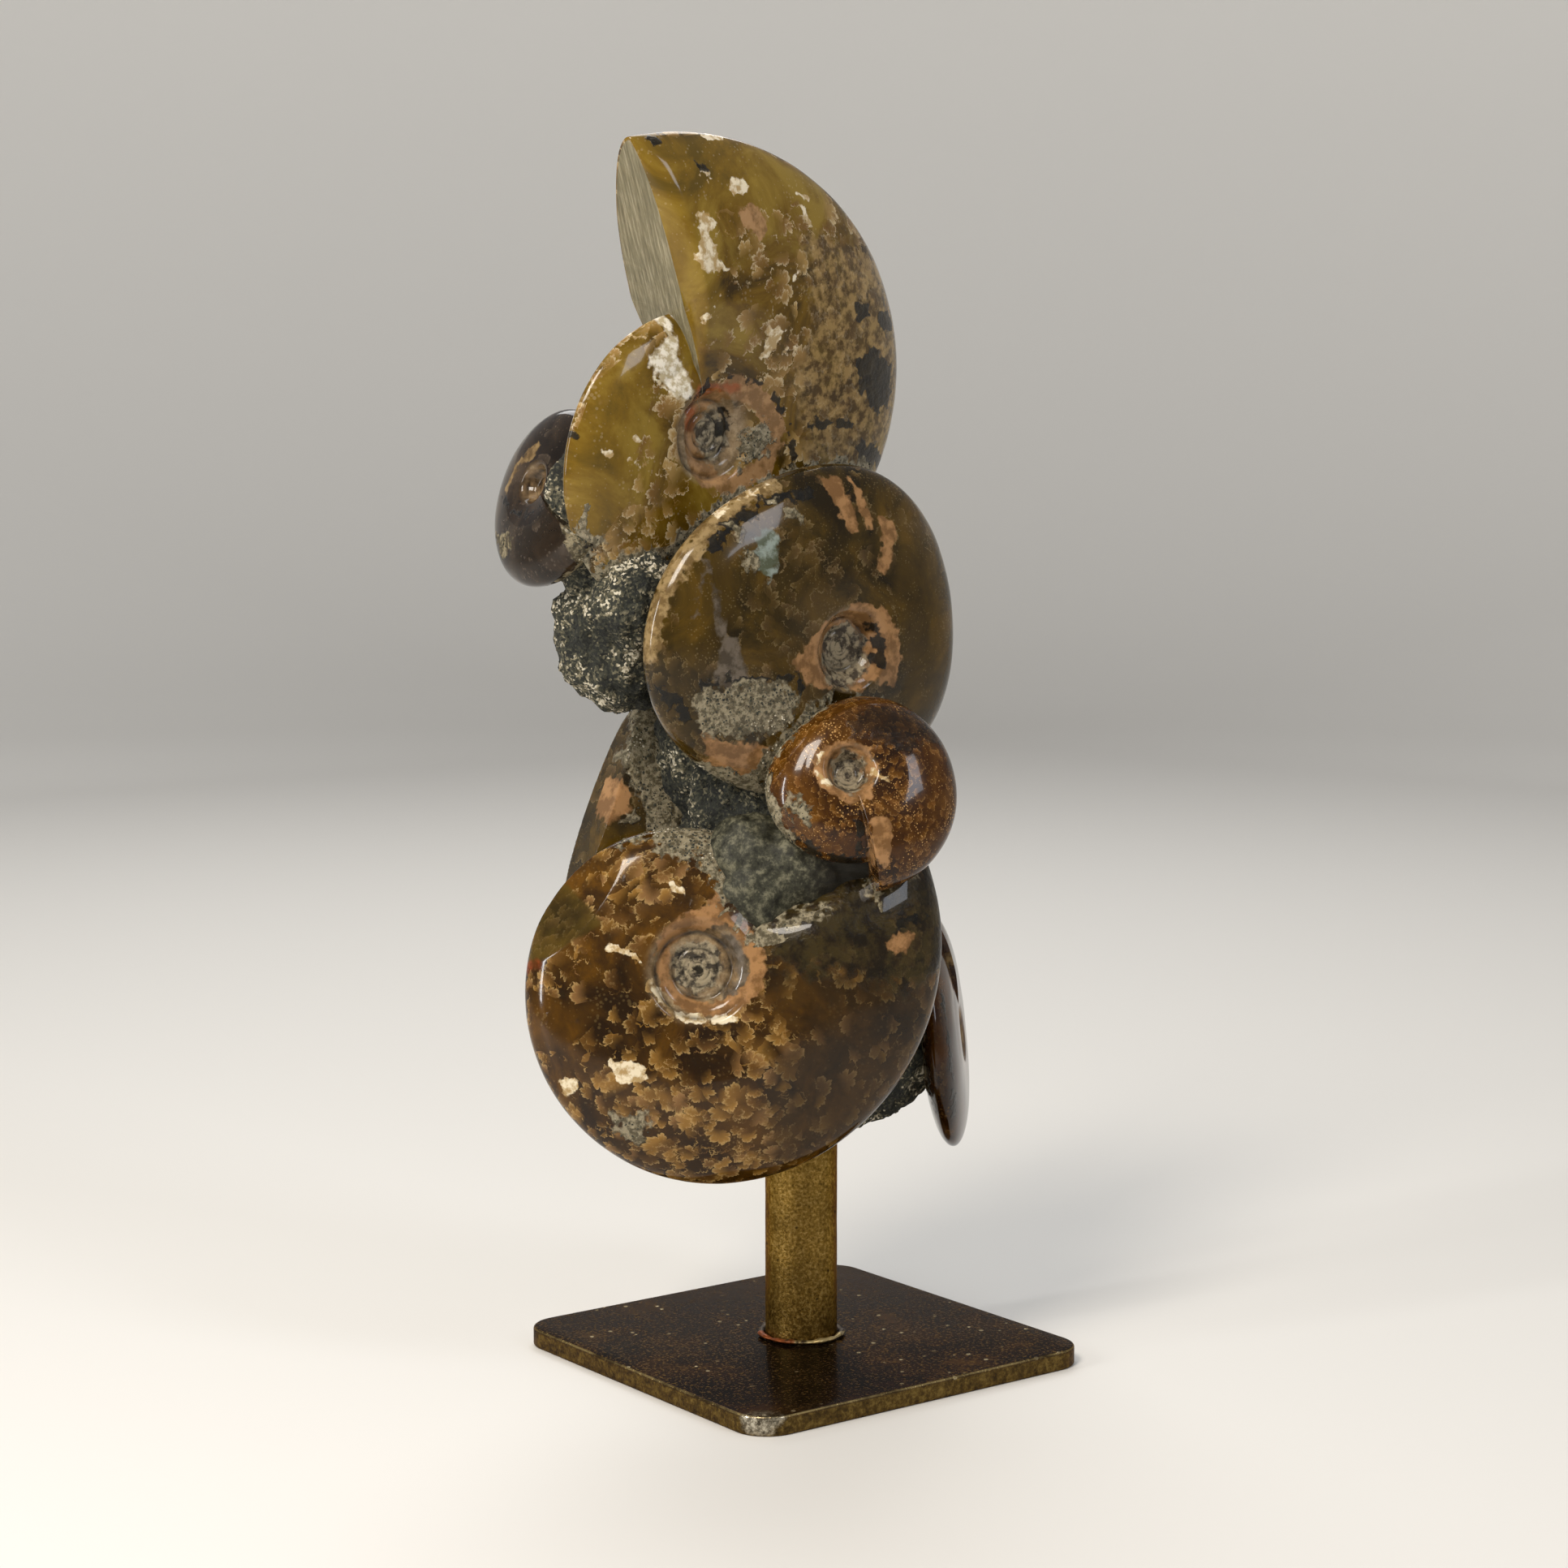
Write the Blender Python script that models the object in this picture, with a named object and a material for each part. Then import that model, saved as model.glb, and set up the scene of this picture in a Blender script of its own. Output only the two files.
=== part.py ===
"""Polished ammonite cluster on a rod-and-plate stand, in metres, +Z up.

The origin is the middle of the plate's underside. The plate's sides run along
X and Y, and the cluster's front faces -Y.
"""

import math
from dataclasses import dataclass

import bmesh
import bpy
from mathutils import Matrix, Vector, noise

MM = 0.001

# Stand
PLATE_SIDE = 101.6 * MM
PLATE_THICK = 4.76 * MM
PLATE_CORNER = 9.0 * MM
PLATE_EDGE = 0.5 * MM
POST_DIAMETER = 18.0 * MM
POST_TOP = 78.0 * MM
WELD_WIDTH = 1.6 * MM
WELD_HEIGHT = 1.3 * MM
STAND_GAP = 0.3 * MM

# Rock
GAP = 0.32 * MM
ROCK_VOXEL = 3.0 * MM
ROCK_KEEP = 0.075
ROCK_ROUGH = 2.0 * MM
ROCK_GRAIN = 60.0

# Shells
NAVEL_RINGS = (0.55, 1.0)
FLANK_RINGS = (0.20, 0.44, 0.67, 0.87, 1.0)
FEW_FLANK_RINGS = (0.30, 0.62, 0.88, 1.0)


@dataclass(frozen=True)
class Shell:
    """One ammonite: a flat spiral whose last whorl hides the earlier ones.

    Attributes:
        name: Node name.
        centre: Middle of the coil, in millimetres.
        yaw: Turn of the flat side about Z, in degrees; at 0 it faces -Y.
        tilt: How far the flat side looks upwards, in degrees.
        radius: Radius at the mouth, in millimetres.
        growth: How many times larger one turn makes the radius.
        thick: Half thickness as a share of the radius.
        mouth: Angle of the mouth around the coil, in degrees.
        hand: 1 where the shell grows counterclockwise seen from its flat side.
        wear: Rows of (waves, cosine share, sine share) that make the rim uneven.
        flats: Rows of (angle, lean, reach in mm) for flats ground on the rim.
        keel: 0.5 for a round rim, more for a sharper one.
        crest: Share of the radius where the shell is thickest.
        slope: Share of the thickness lost from there to the middle.
        navel: Share of the radius where the hollow middle ends.
        hollow: Share of the thickness that the middle lies lower.
        colour: Base colour.
        steps: Number of points around the coil.
        flank: Shares of the way from the hollow to the rim with points.
    """

    name: str
    centre: tuple
    yaw: float
    tilt: float
    radius: float
    growth: float
    thick: float
    mouth: float
    hand: int = 1
    wear: tuple = ()
    flats: tuple = ()
    keel: float = 0.5
    crest: float = 0.35
    slope: float = 0.0
    navel: float = 0.26
    hollow: float = 0.5
    colour: tuple = (0.30, 0.18, 0.06)
    steps: int = 32
    flank: tuple = FLANK_RINGS

    def angles(self):
        """Angles of the columns of points, in degrees, from first to last."""
        first = self.mouth - self.hand * 360.0
        span = self.mouth - first
        return [first + span * step / self.steps for step in range(self.steps + 1)]

    def rim(self, angle):
        """Distance of the rim from the middle at this angle, in metres.

        Returns:
            The distance, and what it would be if the rim were even.
        """
        turns = self.hand * (self.mouth - angle) / 360.0
        coil = self.radius * MM * self.growth**-turns
        uneven = 1.0
        for waves, cosine, sine in self.wear:
            turn = waves * math.radians(angle)
            uneven += cosine * math.cos(turn) + sine * math.sin(turn)
        return coil * uneven, coil

    def shares(self):
        """Shares of the radius at which there are points, from the middle out."""
        inner = [self.navel * share for share in NAVEL_RINGS]
        return inner + [self.navel + (1.0 - self.navel) * share for share in self.flank]

    def height(self, share):
        """Half thickness at this share of the radius, against the largest."""
        outer = max(0.0, (share - self.crest) / (1.0 - self.crest))
        inner = max(0.0, 1.0 - share / self.crest)
        body = (1.0 - outer**2) ** self.keel * (1.0 - self.slope * inner**1.5)
        dip = min(1.0, max(0.0, (share / self.navel - 0.45) / 0.55))
        return body * (1.0 - self.hollow * (1.0 - dip * dip * (3.0 - 2.0 * dip)))

    def point(self, angle, share, side):
        """Point on the given side (1 or -1), with the flat side facing -Y."""
        rim, coil = self.rim(angle)
        middle = self.radius * MM * self.growth**-0.5
        out = max(0.0, (share - self.navel) / (1.0 - self.navel))
        away = min(share, self.navel) * middle
        away += (rim - self.navel * middle) * out
        scale = middle + (coil - middle) * min(1.0, 3.0 * out)
        high = side * scale * self.thick * self.height(share)
        for towards, lean, reach in self.flats:
            lean = math.radians(lean)
            face = math.cos(math.radians(angle - towards)) * math.cos(lean)
            allowed = reach * MM - high * math.sin(lean)
            if away * face > allowed:
                away = allowed / face
        turn = math.radians(angle)
        return Vector((away * math.cos(turn), -high, away * math.sin(turn)))


SHELLS = (
    Shell(
        "ammonite_top",
        (-31.4, 0.2, 228.7),
        yaw=6.3,
        tilt=-6.2,
        radius=77.3,
        growth=2.44,
        thick=0.160,
        mouth=111.8,
        wear=((1, 0.021, -0.001), (2, 0.056, 0.050), (3, 0.016, 0.001)),
        keel=0.62,
        crest=0.52,
        slope=0.55,
        navel=0.24,
        hollow=0.35,
        colour=(0.34, 0.23, 0.07),
    ),
    Shell(
        "ammonite_middle",
        (-3.0, -14.4, 178.0),
        yaw=-0.8,
        tilt=-3.3,
        radius=51.8,
        growth=1.63,
        thick=0.231,
        mouth=243.9,
        wear=((1, 0.013, 0.070), (2, 0.060, -0.057), (3, -0.060, -0.021)),
        navel=0.26,
        colour=(0.22, 0.16, 0.05),
    ),
    Shell(
        "ammonite_small",
        (-10.8, -31.0, 147.4),
        yaw=-28.8,
        tilt=21.6,
        radius=25.2,
        growth=1.36,
        thick=0.425,
        mouth=283.2,
        hand=-1,
        wear=((1, 0.111, -0.108), (2, 0.019, 0.030), (3, -0.015, -0.011)),
        flats=((128.0, 0.0, 19.5),),
        navel=0.30,
        colour=(0.42, 0.19, 0.04),
        steps=24,
        flank=FEW_FLANK_RINGS,
    ),
    Shell(
        "ammonite_lower",
        (-40.2, -11.9, 102.5),
        yaw=-31.9,
        tilt=9.4,
        radius=59.6,
        growth=1.97,
        thick=0.236,
        mouth=21.0,
        wear=((1, 0.013, -0.024), (2, -0.003, 0.006), (3, 0.003, 0.007)),
        flats=((142.0, 49.0, 23.6),),
        navel=0.30,
        hollow=0.35,
        colour=(0.36, 0.21, 0.06),
    ),
    Shell(
        "ammonite_lower_back",
        (-20.0, 13.4, 130.5),
        yaw=-16.0,
        tilt=6.0,
        radius=48.0,
        growth=1.5,
        thick=0.20,
        mouth=20.0,
        flats=((158.0, 12.0, 27.0),),
        colour=(0.22, 0.16, 0.05),
        steps=24,
        flank=FEW_FLANK_RINGS,
    ),
    Shell(
        "ammonite_left_back",
        (-59.5, 18.0, 215.0),
        yaw=-92.0,
        tilt=18.0,
        radius=25.0,
        growth=1.4,
        thick=0.30,
        mouth=330.0,
        colour=(0.20, 0.16, 0.12),
        steps=24,
        flank=FEW_FLANK_RINGS,
    ),
    Shell(
        "ammonite_right_edge",
        (34.0, -13.6, 79.0),
        yaw=47.0,
        tilt=7.0,
        radius=31.0,
        growth=1.2,
        thick=0.18,
        mouth=100.0,
        colour=(0.30, 0.17, 0.07),
        steps=24,
        flank=FEW_FLANK_RINGS,
    ),
)

# Lumps of rock as rows of centre and radii, in millimetres
LUMPS = (
    ((-49.0, 15.0, 210.0), (12.0, 10.0, 17.0)),
    ((-58.0, 8.0, 209.0), (8.0, 8.0, 19.0)),
    ((-36.0, 14.0, 204.0), (22.0, 13.0, 24.0)),
    ((-46.0, 10.0, 181.0), (16.0, 15.0, 19.0)),
    ((-50.0, -2.0, 189.0), (11.0, 9.0, 12.0)),
    ((-4.0, 13.0, 220.0), (28.0, 14.0, 34.0)),
    ((-4.0, 10.0, 180.0), (31.0, 20.0, 34.0)),
    ((-16.0, 8.0, 150.0), (26.0, 20.0, 26.0)),
    ((-34.0, -9.0, 139.0), (15.0, 11.0, 13.0)),
    ((-6.0, 10.0, 108.0), (32.0, 24.0, 42.0)),
    ((8.0, -8.0, 86.0), (28.0, 20.0, 28.0)),
    ((-27.0, -19.0, 130.0), (13.0, 10.0, 18.0)),
    ((3.0, -15.0, 138.0), (22.0, 19.0, 28.0)),
)


def clear_scene():
    """Removes every object that is there."""
    for item in list(bpy.data.objects):
        bpy.data.objects.remove(item, do_unlink=True)


def painted(name, colour, metal=0.0, rough=0.4):
    """A plain Principled material.

    Args:
        name: Material name.
        colour: Red, green and blue, linear.
        metal: Metallic value.
        rough: Roughness value.

    Returns:
        The material.
    """
    material = bpy.data.materials.new(name)
    material.use_nodes = True
    shader = material.node_tree.nodes["Principled BSDF"]
    shader.inputs["Base Color"].default_value = (*colour, 1.0)
    shader.inputs["Metallic"].default_value = metal
    shader.inputs["Roughness"].default_value = rough
    return material


def add(name, mesh, material=None):
    """Links a new object with this mesh.

    Args:
        name: Object name.
        mesh: The mesh.
        material: Its material, if any.

    Returns:
        The object.
    """
    made = bpy.data.objects.new(name, mesh)
    bpy.context.scene.collection.objects.link(made)
    if material is not None:
        mesh.materials.clear()
        mesh.materials.append(material)
    return made


def from_bmesh(name, shape, material=None):
    """Turns a bmesh into an object, with its faces looking outwards."""
    bmesh.ops.recalc_face_normals(shape, faces=shape.faces)
    mesh = bpy.data.meshes.new(name)
    shape.to_mesh(mesh)
    shape.free()
    return add(name, mesh, material)


def smooth(item, angle=38.0):
    """Shades an object smooth, with creases sharper than the angle kept."""
    for face in item.data.polygons:
        face.use_smooth = True
    item.data.set_sharp_from_angle(angle=math.radians(angle))


def lathe(rows, count):
    """Rings of points about Z from (radius, height) rows, in a new bmesh."""
    shape = bmesh.new()
    rings = []
    for radius, height in rows:
        ring = []
        for step in range(count):
            turn = math.tau * step / count
            ring.append(
                shape.verts.new(
                    (radius * math.cos(turn), radius * math.sin(turn), height)
                )
            )
        rings.append(ring)
    return shape, rings


def close_rings(shape, rings, caps):
    """Joins rings of points with faces.

    Args:
        shape: The bmesh that holds the points.
        rings: Lists of points, one after the other.
        caps: True closes both ends, False joins the last ring to the first.
    """
    count = len(rings[0])
    pairs = list(zip(rings, rings[1:]))
    if not caps:
        pairs.append((rings[-1], rings[0]))
    for lower, upper in pairs:
        for step in range(count):
            after = (step + 1) % count
            shape.faces.new((lower[step], lower[after], upper[after], upper[step]))
    if caps:
        shape.faces.new(list(reversed(rings[0])))
        shape.faces.new(rings[-1])


def make_plate():
    """Square plate with rounded corners and softened edges."""
    shape = bmesh.new()
    half = PLATE_SIDE / 2
    rows = (
        (PLATE_EDGE, 0.0),
        (0.0, PLATE_EDGE),
        (0.0, PLATE_THICK - PLATE_EDGE),
        (PLATE_EDGE, PLATE_THICK),
    )
    rings = []
    for inset, height in rows:
        ring = []
        for corner in range(4):
            for step in range(7):
                turn = math.radians(90.0 * corner + 15.0 * step)
                base = math.radians(90.0 * corner + 45.0)
                reach = half - PLATE_CORNER
                away = PLATE_CORNER - inset
                ring.append(
                    shape.verts.new(
                        (
                            reach * math.copysign(1.0, math.cos(base))
                            + away * math.cos(turn),
                            reach * math.copysign(1.0, math.sin(base))
                            + away * math.sin(turn),
                            height,
                        )
                    )
                )
        rings.append(ring)
    close_rings(shape, rings, caps=True)
    plate = from_bmesh("base_plate", shape, painted("plate", (0.045, 0.030, 0.016), 0.7, 0.35))
    smooth(plate, 30.0)
    return plate


def make_post():
    """Round rod from just above the plate into the rock."""
    radius = POST_DIAMETER / 2
    foot = PLATE_THICK + STAND_GAP
    rows = ((radius, 0.0), (radius, POST_TOP - foot))
    shape, rings = lathe(rows, 32)
    close_rings(shape, rings, caps=True)
    post = from_bmesh("post", shape, painted("post", (0.32, 0.21, 0.07), 0.8, 0.45))
    post.location.z = foot
    smooth(post)
    return post


def make_weld():
    """Thin uneven weld ring round the rod's foot."""
    inner = POST_DIAMETER / 2 + STAND_GAP
    shape = bmesh.new()
    outline = (
        (0.0, 0.0),
        (WELD_WIDTH, 0.0),
        (0.72 * WELD_WIDTH, 0.55 * WELD_HEIGHT),
        (0.0, WELD_HEIGHT),
    )
    count = 28
    rings = []
    for away, height in outline:
        ring = []
        for step in range(count):
            turn = math.tau * step / count
            lump = 1.0 + 0.16 * math.sin(7 * turn + 0.6) + 0.10 * math.sin(12 * turn)
            radius = inner + away * lump
            ring.append(
                shape.verts.new(
                    (
                        radius * math.cos(turn),
                        radius * math.sin(turn),
                        height * lump,
                    )
                )
            )
        rings.append(ring)
    close_rings(shape, rings, caps=False)
    weld = from_bmesh("weld_bead", shape, painted("weld", (0.30, 0.20, 0.10), 0.6, 0.5))
    weld.location.z = PLATE_THICK + STAND_GAP
    smooth(weld, 60.0)
    return weld


def make_shell(spec):
    """Builds one ammonite with its cut mouth and hollow middles.

    Args:
        spec: The shell's measurements.

    Returns:
        The object.
    """
    shape = bmesh.new()
    angles = spec.angles()
    shares = spec.shares()
    inner = len(NAVEL_RINGS)
    edges = [shape.verts.new(spec.point(angle, 1.0, 1)) for angle in angles]
    for side in (1, -1):
        pole = shape.verts.new(spec.point(angles[0], 0.0, side))
        columns = []
        for angle, edge in zip(angles, edges):
            column = [shape.verts.new(spec.point(angle, share, side)) for share in shares[:-1]]
            columns.append([pole, *column, edge])
        for made in columns[-1][1 : inner + 1]:
            shape.verts.remove(made)
        columns[-1][1 : inner + 1] = columns[0][1 : inner + 1]
        for first, second in zip(columns, columns[1:]):
            shape.faces.new((first[0], first[1], second[1]))
            for low in range(1, len(first) - 1):
                shape.faces.new(
                    (first[low], first[low + 1], second[low + 1], second[low])
                )
        start = columns[0]
        end = columns[-1]
        shape.faces.new((start[inner], start[inner + 1], end[inner + 1]))
        for low in range(inner + 1, len(start) - 1):
            shape.faces.new((start[low], start[low + 1], end[low + 1], end[low]))
    bmesh.ops.triangulate(shape, faces=shape.faces)
    shell = from_bmesh(spec.name, shape, painted(spec.name, spec.colour, 0.0, 0.2))
    shell.location = Vector(spec.centre) * MM
    shell.rotation_euler = (-math.radians(spec.tilt), 0.0, math.radians(spec.yaw))
    return shell


def grown(item, amount):
    """A hidden copy of an object, larger by the amount on every side."""
    mesh = item.data.copy()
    copy = add(item.name + "_cutter", mesh)
    copy.location = item.location
    copy.rotation_euler = item.rotation_euler
    copy.hide_render = True
    copy.display_type = "WIRE"
    normals = [vertex.normal.copy() for vertex in mesh.vertices]
    for vertex, normal in zip(mesh.vertices, normals):
        vertex.co += normal * amount
    return copy


def settled(item):
    """Replaces an object's mesh by what its modifiers make of it."""
    graph = bpy.context.evaluated_depsgraph_get()
    mesh = bpy.data.meshes.new_from_object(item.evaluated_get(graph))
    item.modifiers.clear()
    item.data = mesh


def cut(item, cutters):
    """Takes each cutter away from an object."""
    for cutter in cutters:
        step = item.modifiers.new("cut", "BOOLEAN")
        step.operation = "DIFFERENCE"
        step.solver = "EXACT"
        step.object = cutter
        settled(item)


def keep_largest(item):
    """Drops the loose crumbs that a cut leaves, and keeps the main body."""
    shape = bmesh.new()
    shape.from_mesh(item.data)
    left = set(shape.verts)
    bodies = []
    while left:
        body = set()
        queue = [left.pop()]
        while queue:
            vertex = queue.pop()
            body.add(vertex)
            for edge in vertex.link_edges:
                other = edge.other_vert(vertex)
                if other in left:
                    left.remove(other)
                    queue.append(other)
        bodies.append(body)
    bodies.sort(key=len)
    crumbs = [vertex for body in bodies[:-1] for vertex in body]
    bmesh.ops.delete(shape, geom=crumbs, context="VERTS")
    shape.to_mesh(item.data)
    shape.free()


def make_rock():
    """Joins the lumps into one uneven rock."""
    shape = bmesh.new()
    for centre, radii in LUMPS:
        place = Matrix.Translation(Vector(centre) * MM)
        stretch = Matrix.Diagonal((*(Vector(radii) * MM), 1.0))
        bmesh.ops.create_icosphere(
            shape, subdivisions=3, radius=1.0, matrix=place @ stretch
        )
    rock = from_bmesh("matrix", shape, painted("matrix", (0.045, 0.050, 0.040), 0.0, 0.8))
    remesh = rock.modifiers.new("join", "REMESH")
    remesh.mode = "VOXEL"
    remesh.voxel_size = ROCK_VOXEL
    settled(rock)
    for vertex in rock.data.vertices:
        bump = noise.fractal(vertex.co * ROCK_GRAIN, 0.8, 2.1, 3)
        vertex.co += vertex.normal * bump * ROCK_ROUGH
    fewer = rock.modifiers.new("fewer", "DECIMATE")
    fewer.ratio = ROCK_KEEP
    settled(rock)
    return rock


def main():
    """Builds the stand, the shells and the rock that holds them."""
    clear_scene()
    make_plate()
    post = make_post()
    make_weld()
    shells = [make_shell(spec) for spec in SHELLS]
    rock = make_rock()
    cutters = [grown(shell, GAP) for shell in shells]
    for count, shell in enumerate(shells):
        cut(shell, cutters[:count])
        keep_largest(shell)
    post_cutter = grown(post, GAP)
    cut(rock, [*cutters, post_cutter])
    keep_largest(rock)
    for item in shells + [rock]:
        smooth(item)
    for cutter in [*cutters, post_cutter]:
        bpy.data.objects.remove(cutter, do_unlink=True)


main()
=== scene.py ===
"""Dressed ammonite cluster: polished shells in sandstone on a rod and plate.

Lengths are in metres, except in tables and in names that end in _MM. The front
of the cluster looks towards -Y, as in the frame.
"""

import logging
import math
from dataclasses import dataclass, field
from enum import Enum
from typing import Any, Sequence

import bmesh
import bpy
import numpy as np
from mathutils import Euler, Matrix, Vector, noise
from mathutils.bvhtree import BVHTree


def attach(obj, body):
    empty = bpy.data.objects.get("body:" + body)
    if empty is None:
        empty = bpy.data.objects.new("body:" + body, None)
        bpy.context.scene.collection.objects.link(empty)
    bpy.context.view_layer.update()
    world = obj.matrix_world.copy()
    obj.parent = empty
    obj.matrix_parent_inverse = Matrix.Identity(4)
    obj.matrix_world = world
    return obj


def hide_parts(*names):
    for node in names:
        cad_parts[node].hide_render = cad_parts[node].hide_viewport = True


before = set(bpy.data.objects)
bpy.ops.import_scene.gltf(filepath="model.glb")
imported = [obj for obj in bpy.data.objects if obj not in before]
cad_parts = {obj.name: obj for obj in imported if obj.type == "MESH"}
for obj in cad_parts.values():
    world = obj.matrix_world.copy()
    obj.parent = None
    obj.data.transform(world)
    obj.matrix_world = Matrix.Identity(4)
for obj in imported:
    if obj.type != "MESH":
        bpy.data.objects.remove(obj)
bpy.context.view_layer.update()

LOG = logging.getLogger("ammonites")
MM = 0.001
MATH = "ShaderNodeMath"
NOISE = "ShaderNodeTexNoise"
CELLS = "ShaderNodeTexVoronoi"
RAMP = "ShaderNodeValToRGB"
RANGE = "ShaderNodeMapRange"
MIX = "ShaderNodeMix"
ATTRIBUTE = "ShaderNodeAttribute"
VECTOR = "ShaderNodeVectorMath"
SPLIT = "ShaderNodeSeparateXYZ"
JOIN = "ShaderNodeCombineXYZ"
STORE = "GeometryNodeStoreNamedAttribute"
CHANCE = "FunctionNodeRandomValue"
# How many millimetres a stained place's stored value spans, from well out to well in
STAIN_SPAN_MM = 8.0
# A contact with another piece is crusted this far out
CRUST_REACH_MM = 1.8
# Contacts are looked for this far from a shell
NEIGHBOUR_MM = 8.0
# Each layer of leaves has its own seed: this much, and this much by its size
LEAF_SEED = 37.0
LEAF_SEED_STEP = 50.0


def colour(code: str) -> tuple[float, float, float, float]:
    """Turns an sRGB hex code into a linear colour with full alpha."""
    parts = [int(code[place : place + 2], 16) / 255 for place in (1, 3, 5)]
    line = [p / 12.92 if p <= 0.04045 else ((p + 0.055) / 1.055) ** 2.4 for p in parts]
    return (*line, 1.0)


class Wiring:
    """A node tree that is being wired up.

    Attributes:
        tree: The shader or geometry node tree.
    """

    def __init__(self, tree: bpy.types.NodeTree) -> None:
        """Keeps the tree."""
        self.tree = tree

    def add(self, kind: str, *values: Any, **settings: Any) -> bpy.types.NodeSocket:
        """Adds a node with its settings and links.

        Args:
            kind: Blender's name for the node type.
            values: What goes into the shown inputs, in order. A socket is linked,
                None leaves an input alone, and a colour may be a hex code.
            settings: Node properties. `stops` fills a colour ramp with rows of
                (place, hex code), and `inputs` maps names of inputs to values.

        Returns:
            The node's first shown output.
        """
        node = self.tree.nodes.new(kind)
        stops = settings.pop("stops", ())
        inputs = settings.pop("inputs", {})
        for name, value in settings.items():
            setattr(node, name, value)
        shown = [socket for socket in node.inputs if socket.enabled]
        pairs = list(zip(shown, values))
        pairs += [(next(s for s in shown if s.name == key), v) for key, v in inputs.items()]
        for socket, value in pairs:
            if isinstance(value, bpy.types.NodeSocket):
                self.tree.links.new(value, socket)
            elif isinstance(value, str) and value.startswith("#"):
                socket.default_value = colour(value)
            elif value is not None:
                socket.default_value = value
        if stops:
            elements = node.color_ramp.elements
            while len(elements) < len(stops):
                elements.new(1.0)
            for element, (place, code) in zip(elements, stops):
                element.position = place
                element.color = colour(code)
        return next((socket for socket in node.outputs if socket.enabled), None)

    def here(self) -> bpy.types.NodeSocket:
        """Object coordinates."""
        return self.add("ShaderNodeTexCoord").node.outputs["Object"]

    def stored(self, name: str, output: str = "Fac") -> bpy.types.NodeSocket:
        """A value that the mesh stores under this name."""
        return self.add(ATTRIBUTE, attribute_name=name).node.outputs[output]


def shader_of(name: str, **plain: Any) -> tuple[bpy.types.Material, Wiring, bpy.types.Node]:
    """Starts a material with a Principled shader.

    Args:
        name: Material name.
        plain: Values that are the same all over, by the input's name with _ for
            spaces.

    Returns:
        The material, its wiring and its shader node.
    """
    material = bpy.data.materials.new(name)
    material.use_nodes = True
    shader = material.node_tree.nodes["Principled BSDF"]
    for key, value in plain.items():
        shader.inputs[key.replace("_", " ")].default_value = value
    return material, Wiring(material.node_tree), shader


class Stain(Enum):
    """What a marked place on a shell is made of, or the painted shade or shadow that it stands
    for.
    """

    CLEAR = "clear"
    MOTTLE = "mottle"
    PAINTED_SHADE = "shade"
    OLIVE = "olive"
    BROWN = "brown"
    CHAMBER = "chamber"
    GREEN = "green"
    PALE = "pale"
    MAUVE = "mauve"
    BLUE = "blue"
    PINK = "pink"
    ORANGE = "orange"
    GREY = "grey"
    CREAM = "cream"
    SILVER = "silver"
    DARK = "dark"
    CRUST = "crust"


@dataclass(frozen=True)
class Layer:
    """How one kind of stained place, or of painted shade, looks.

    Attributes:
        stain: Which place.
        first: Hex code of its one colour.
        second: Hex code of its other colour.
        patch_mm: Size of the patches of the two colours.
        ragged: How far its outline wanders, in millimetres.
        soft: Width of its outline, in millimetres.
        cover: How much of what lies below it hides, 0 to 1.
        rough: Its roughness, or less than 0 to keep the one below.
    """

    stain: Stain
    first: str
    second: str
    patch_mm: float
    ragged: float
    soft: float
    cover: float
    rough: float = -1.0


LAYERS = (
    # Painted shade: a soft dark tint, laid over the lower right of the lower shell
    Layer(Stain.PAINTED_SHADE, "#221a0a", "#3b2c14", 6.0, 6.0, 9.0, 0.70),
    Layer(Stain.MOTTLE, "#9a7f50", "#43321b", 1.4, 7.0, 4.0, 0.76),
    Layer(Stain.OLIVE, "#3a300e", "#5a4a1a", 7.0, 1.0, 1.4, 0.80),
    Layer(Stain.BROWN, "#2c1e0c", "#17120b", 1.6, 6.0, 3.0, 0.72, 0.35),
    Layer(Stain.CHAMBER, "#40371c", "#1f190b", 2.2, 6.0, 6.0, 0.88, 0.34),
    Layer(Stain.GREEN, "#3b3f31", "#5a5d4b", 1.8, 4.0, 1.6, 0.95, 0.40),
    Layer(Stain.PALE, "#75603e", "#a18b64", 1.4, 3.2, 0.8, 0.86),
    Layer(Stain.MAUVE, "#73695d", "#4f463a", 1.8, 2.6, 1.2, 0.88),
    Layer(Stain.BLUE, "#98a39c", "#5d6453", 2.0, 3.0, 1.0, 0.88),
    Layer(Stain.PINK, "#a9835a", "#80603d", 2.0, 3.0, 0.8, 0.94),
    Layer(Stain.ORANGE, "#934a22", "#643512", 1.8, 2.6, 1.6, 0.80),
    Layer(Stain.GREY, "#453f35", "#a1957c", 1.0, 2.8, 1.2, 0.95, 0.50),
    Layer(Stain.CREAM, "#b1976a", "#e6dabf", 1.2, 2.8, 0.4, 0.95),
    Layer(Stain.SILVER, "#efe8d8", "#b9ab8b", 1.0, 3.4, 1.4, 0.94),
    # Dark marks; some of them are painted shadow, in the navel hollows and along the small
    # shell's lower rim
    Layer(Stain.DARK, "#0d0c08", "#241f13", 1.2, 4.6, 0.7, 0.94, 0.30),
    Layer(Stain.CRUST, "#9c927a", "#625a47", 0.7, 6.0, 1.2, 1.0, 0.85),
)


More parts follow.
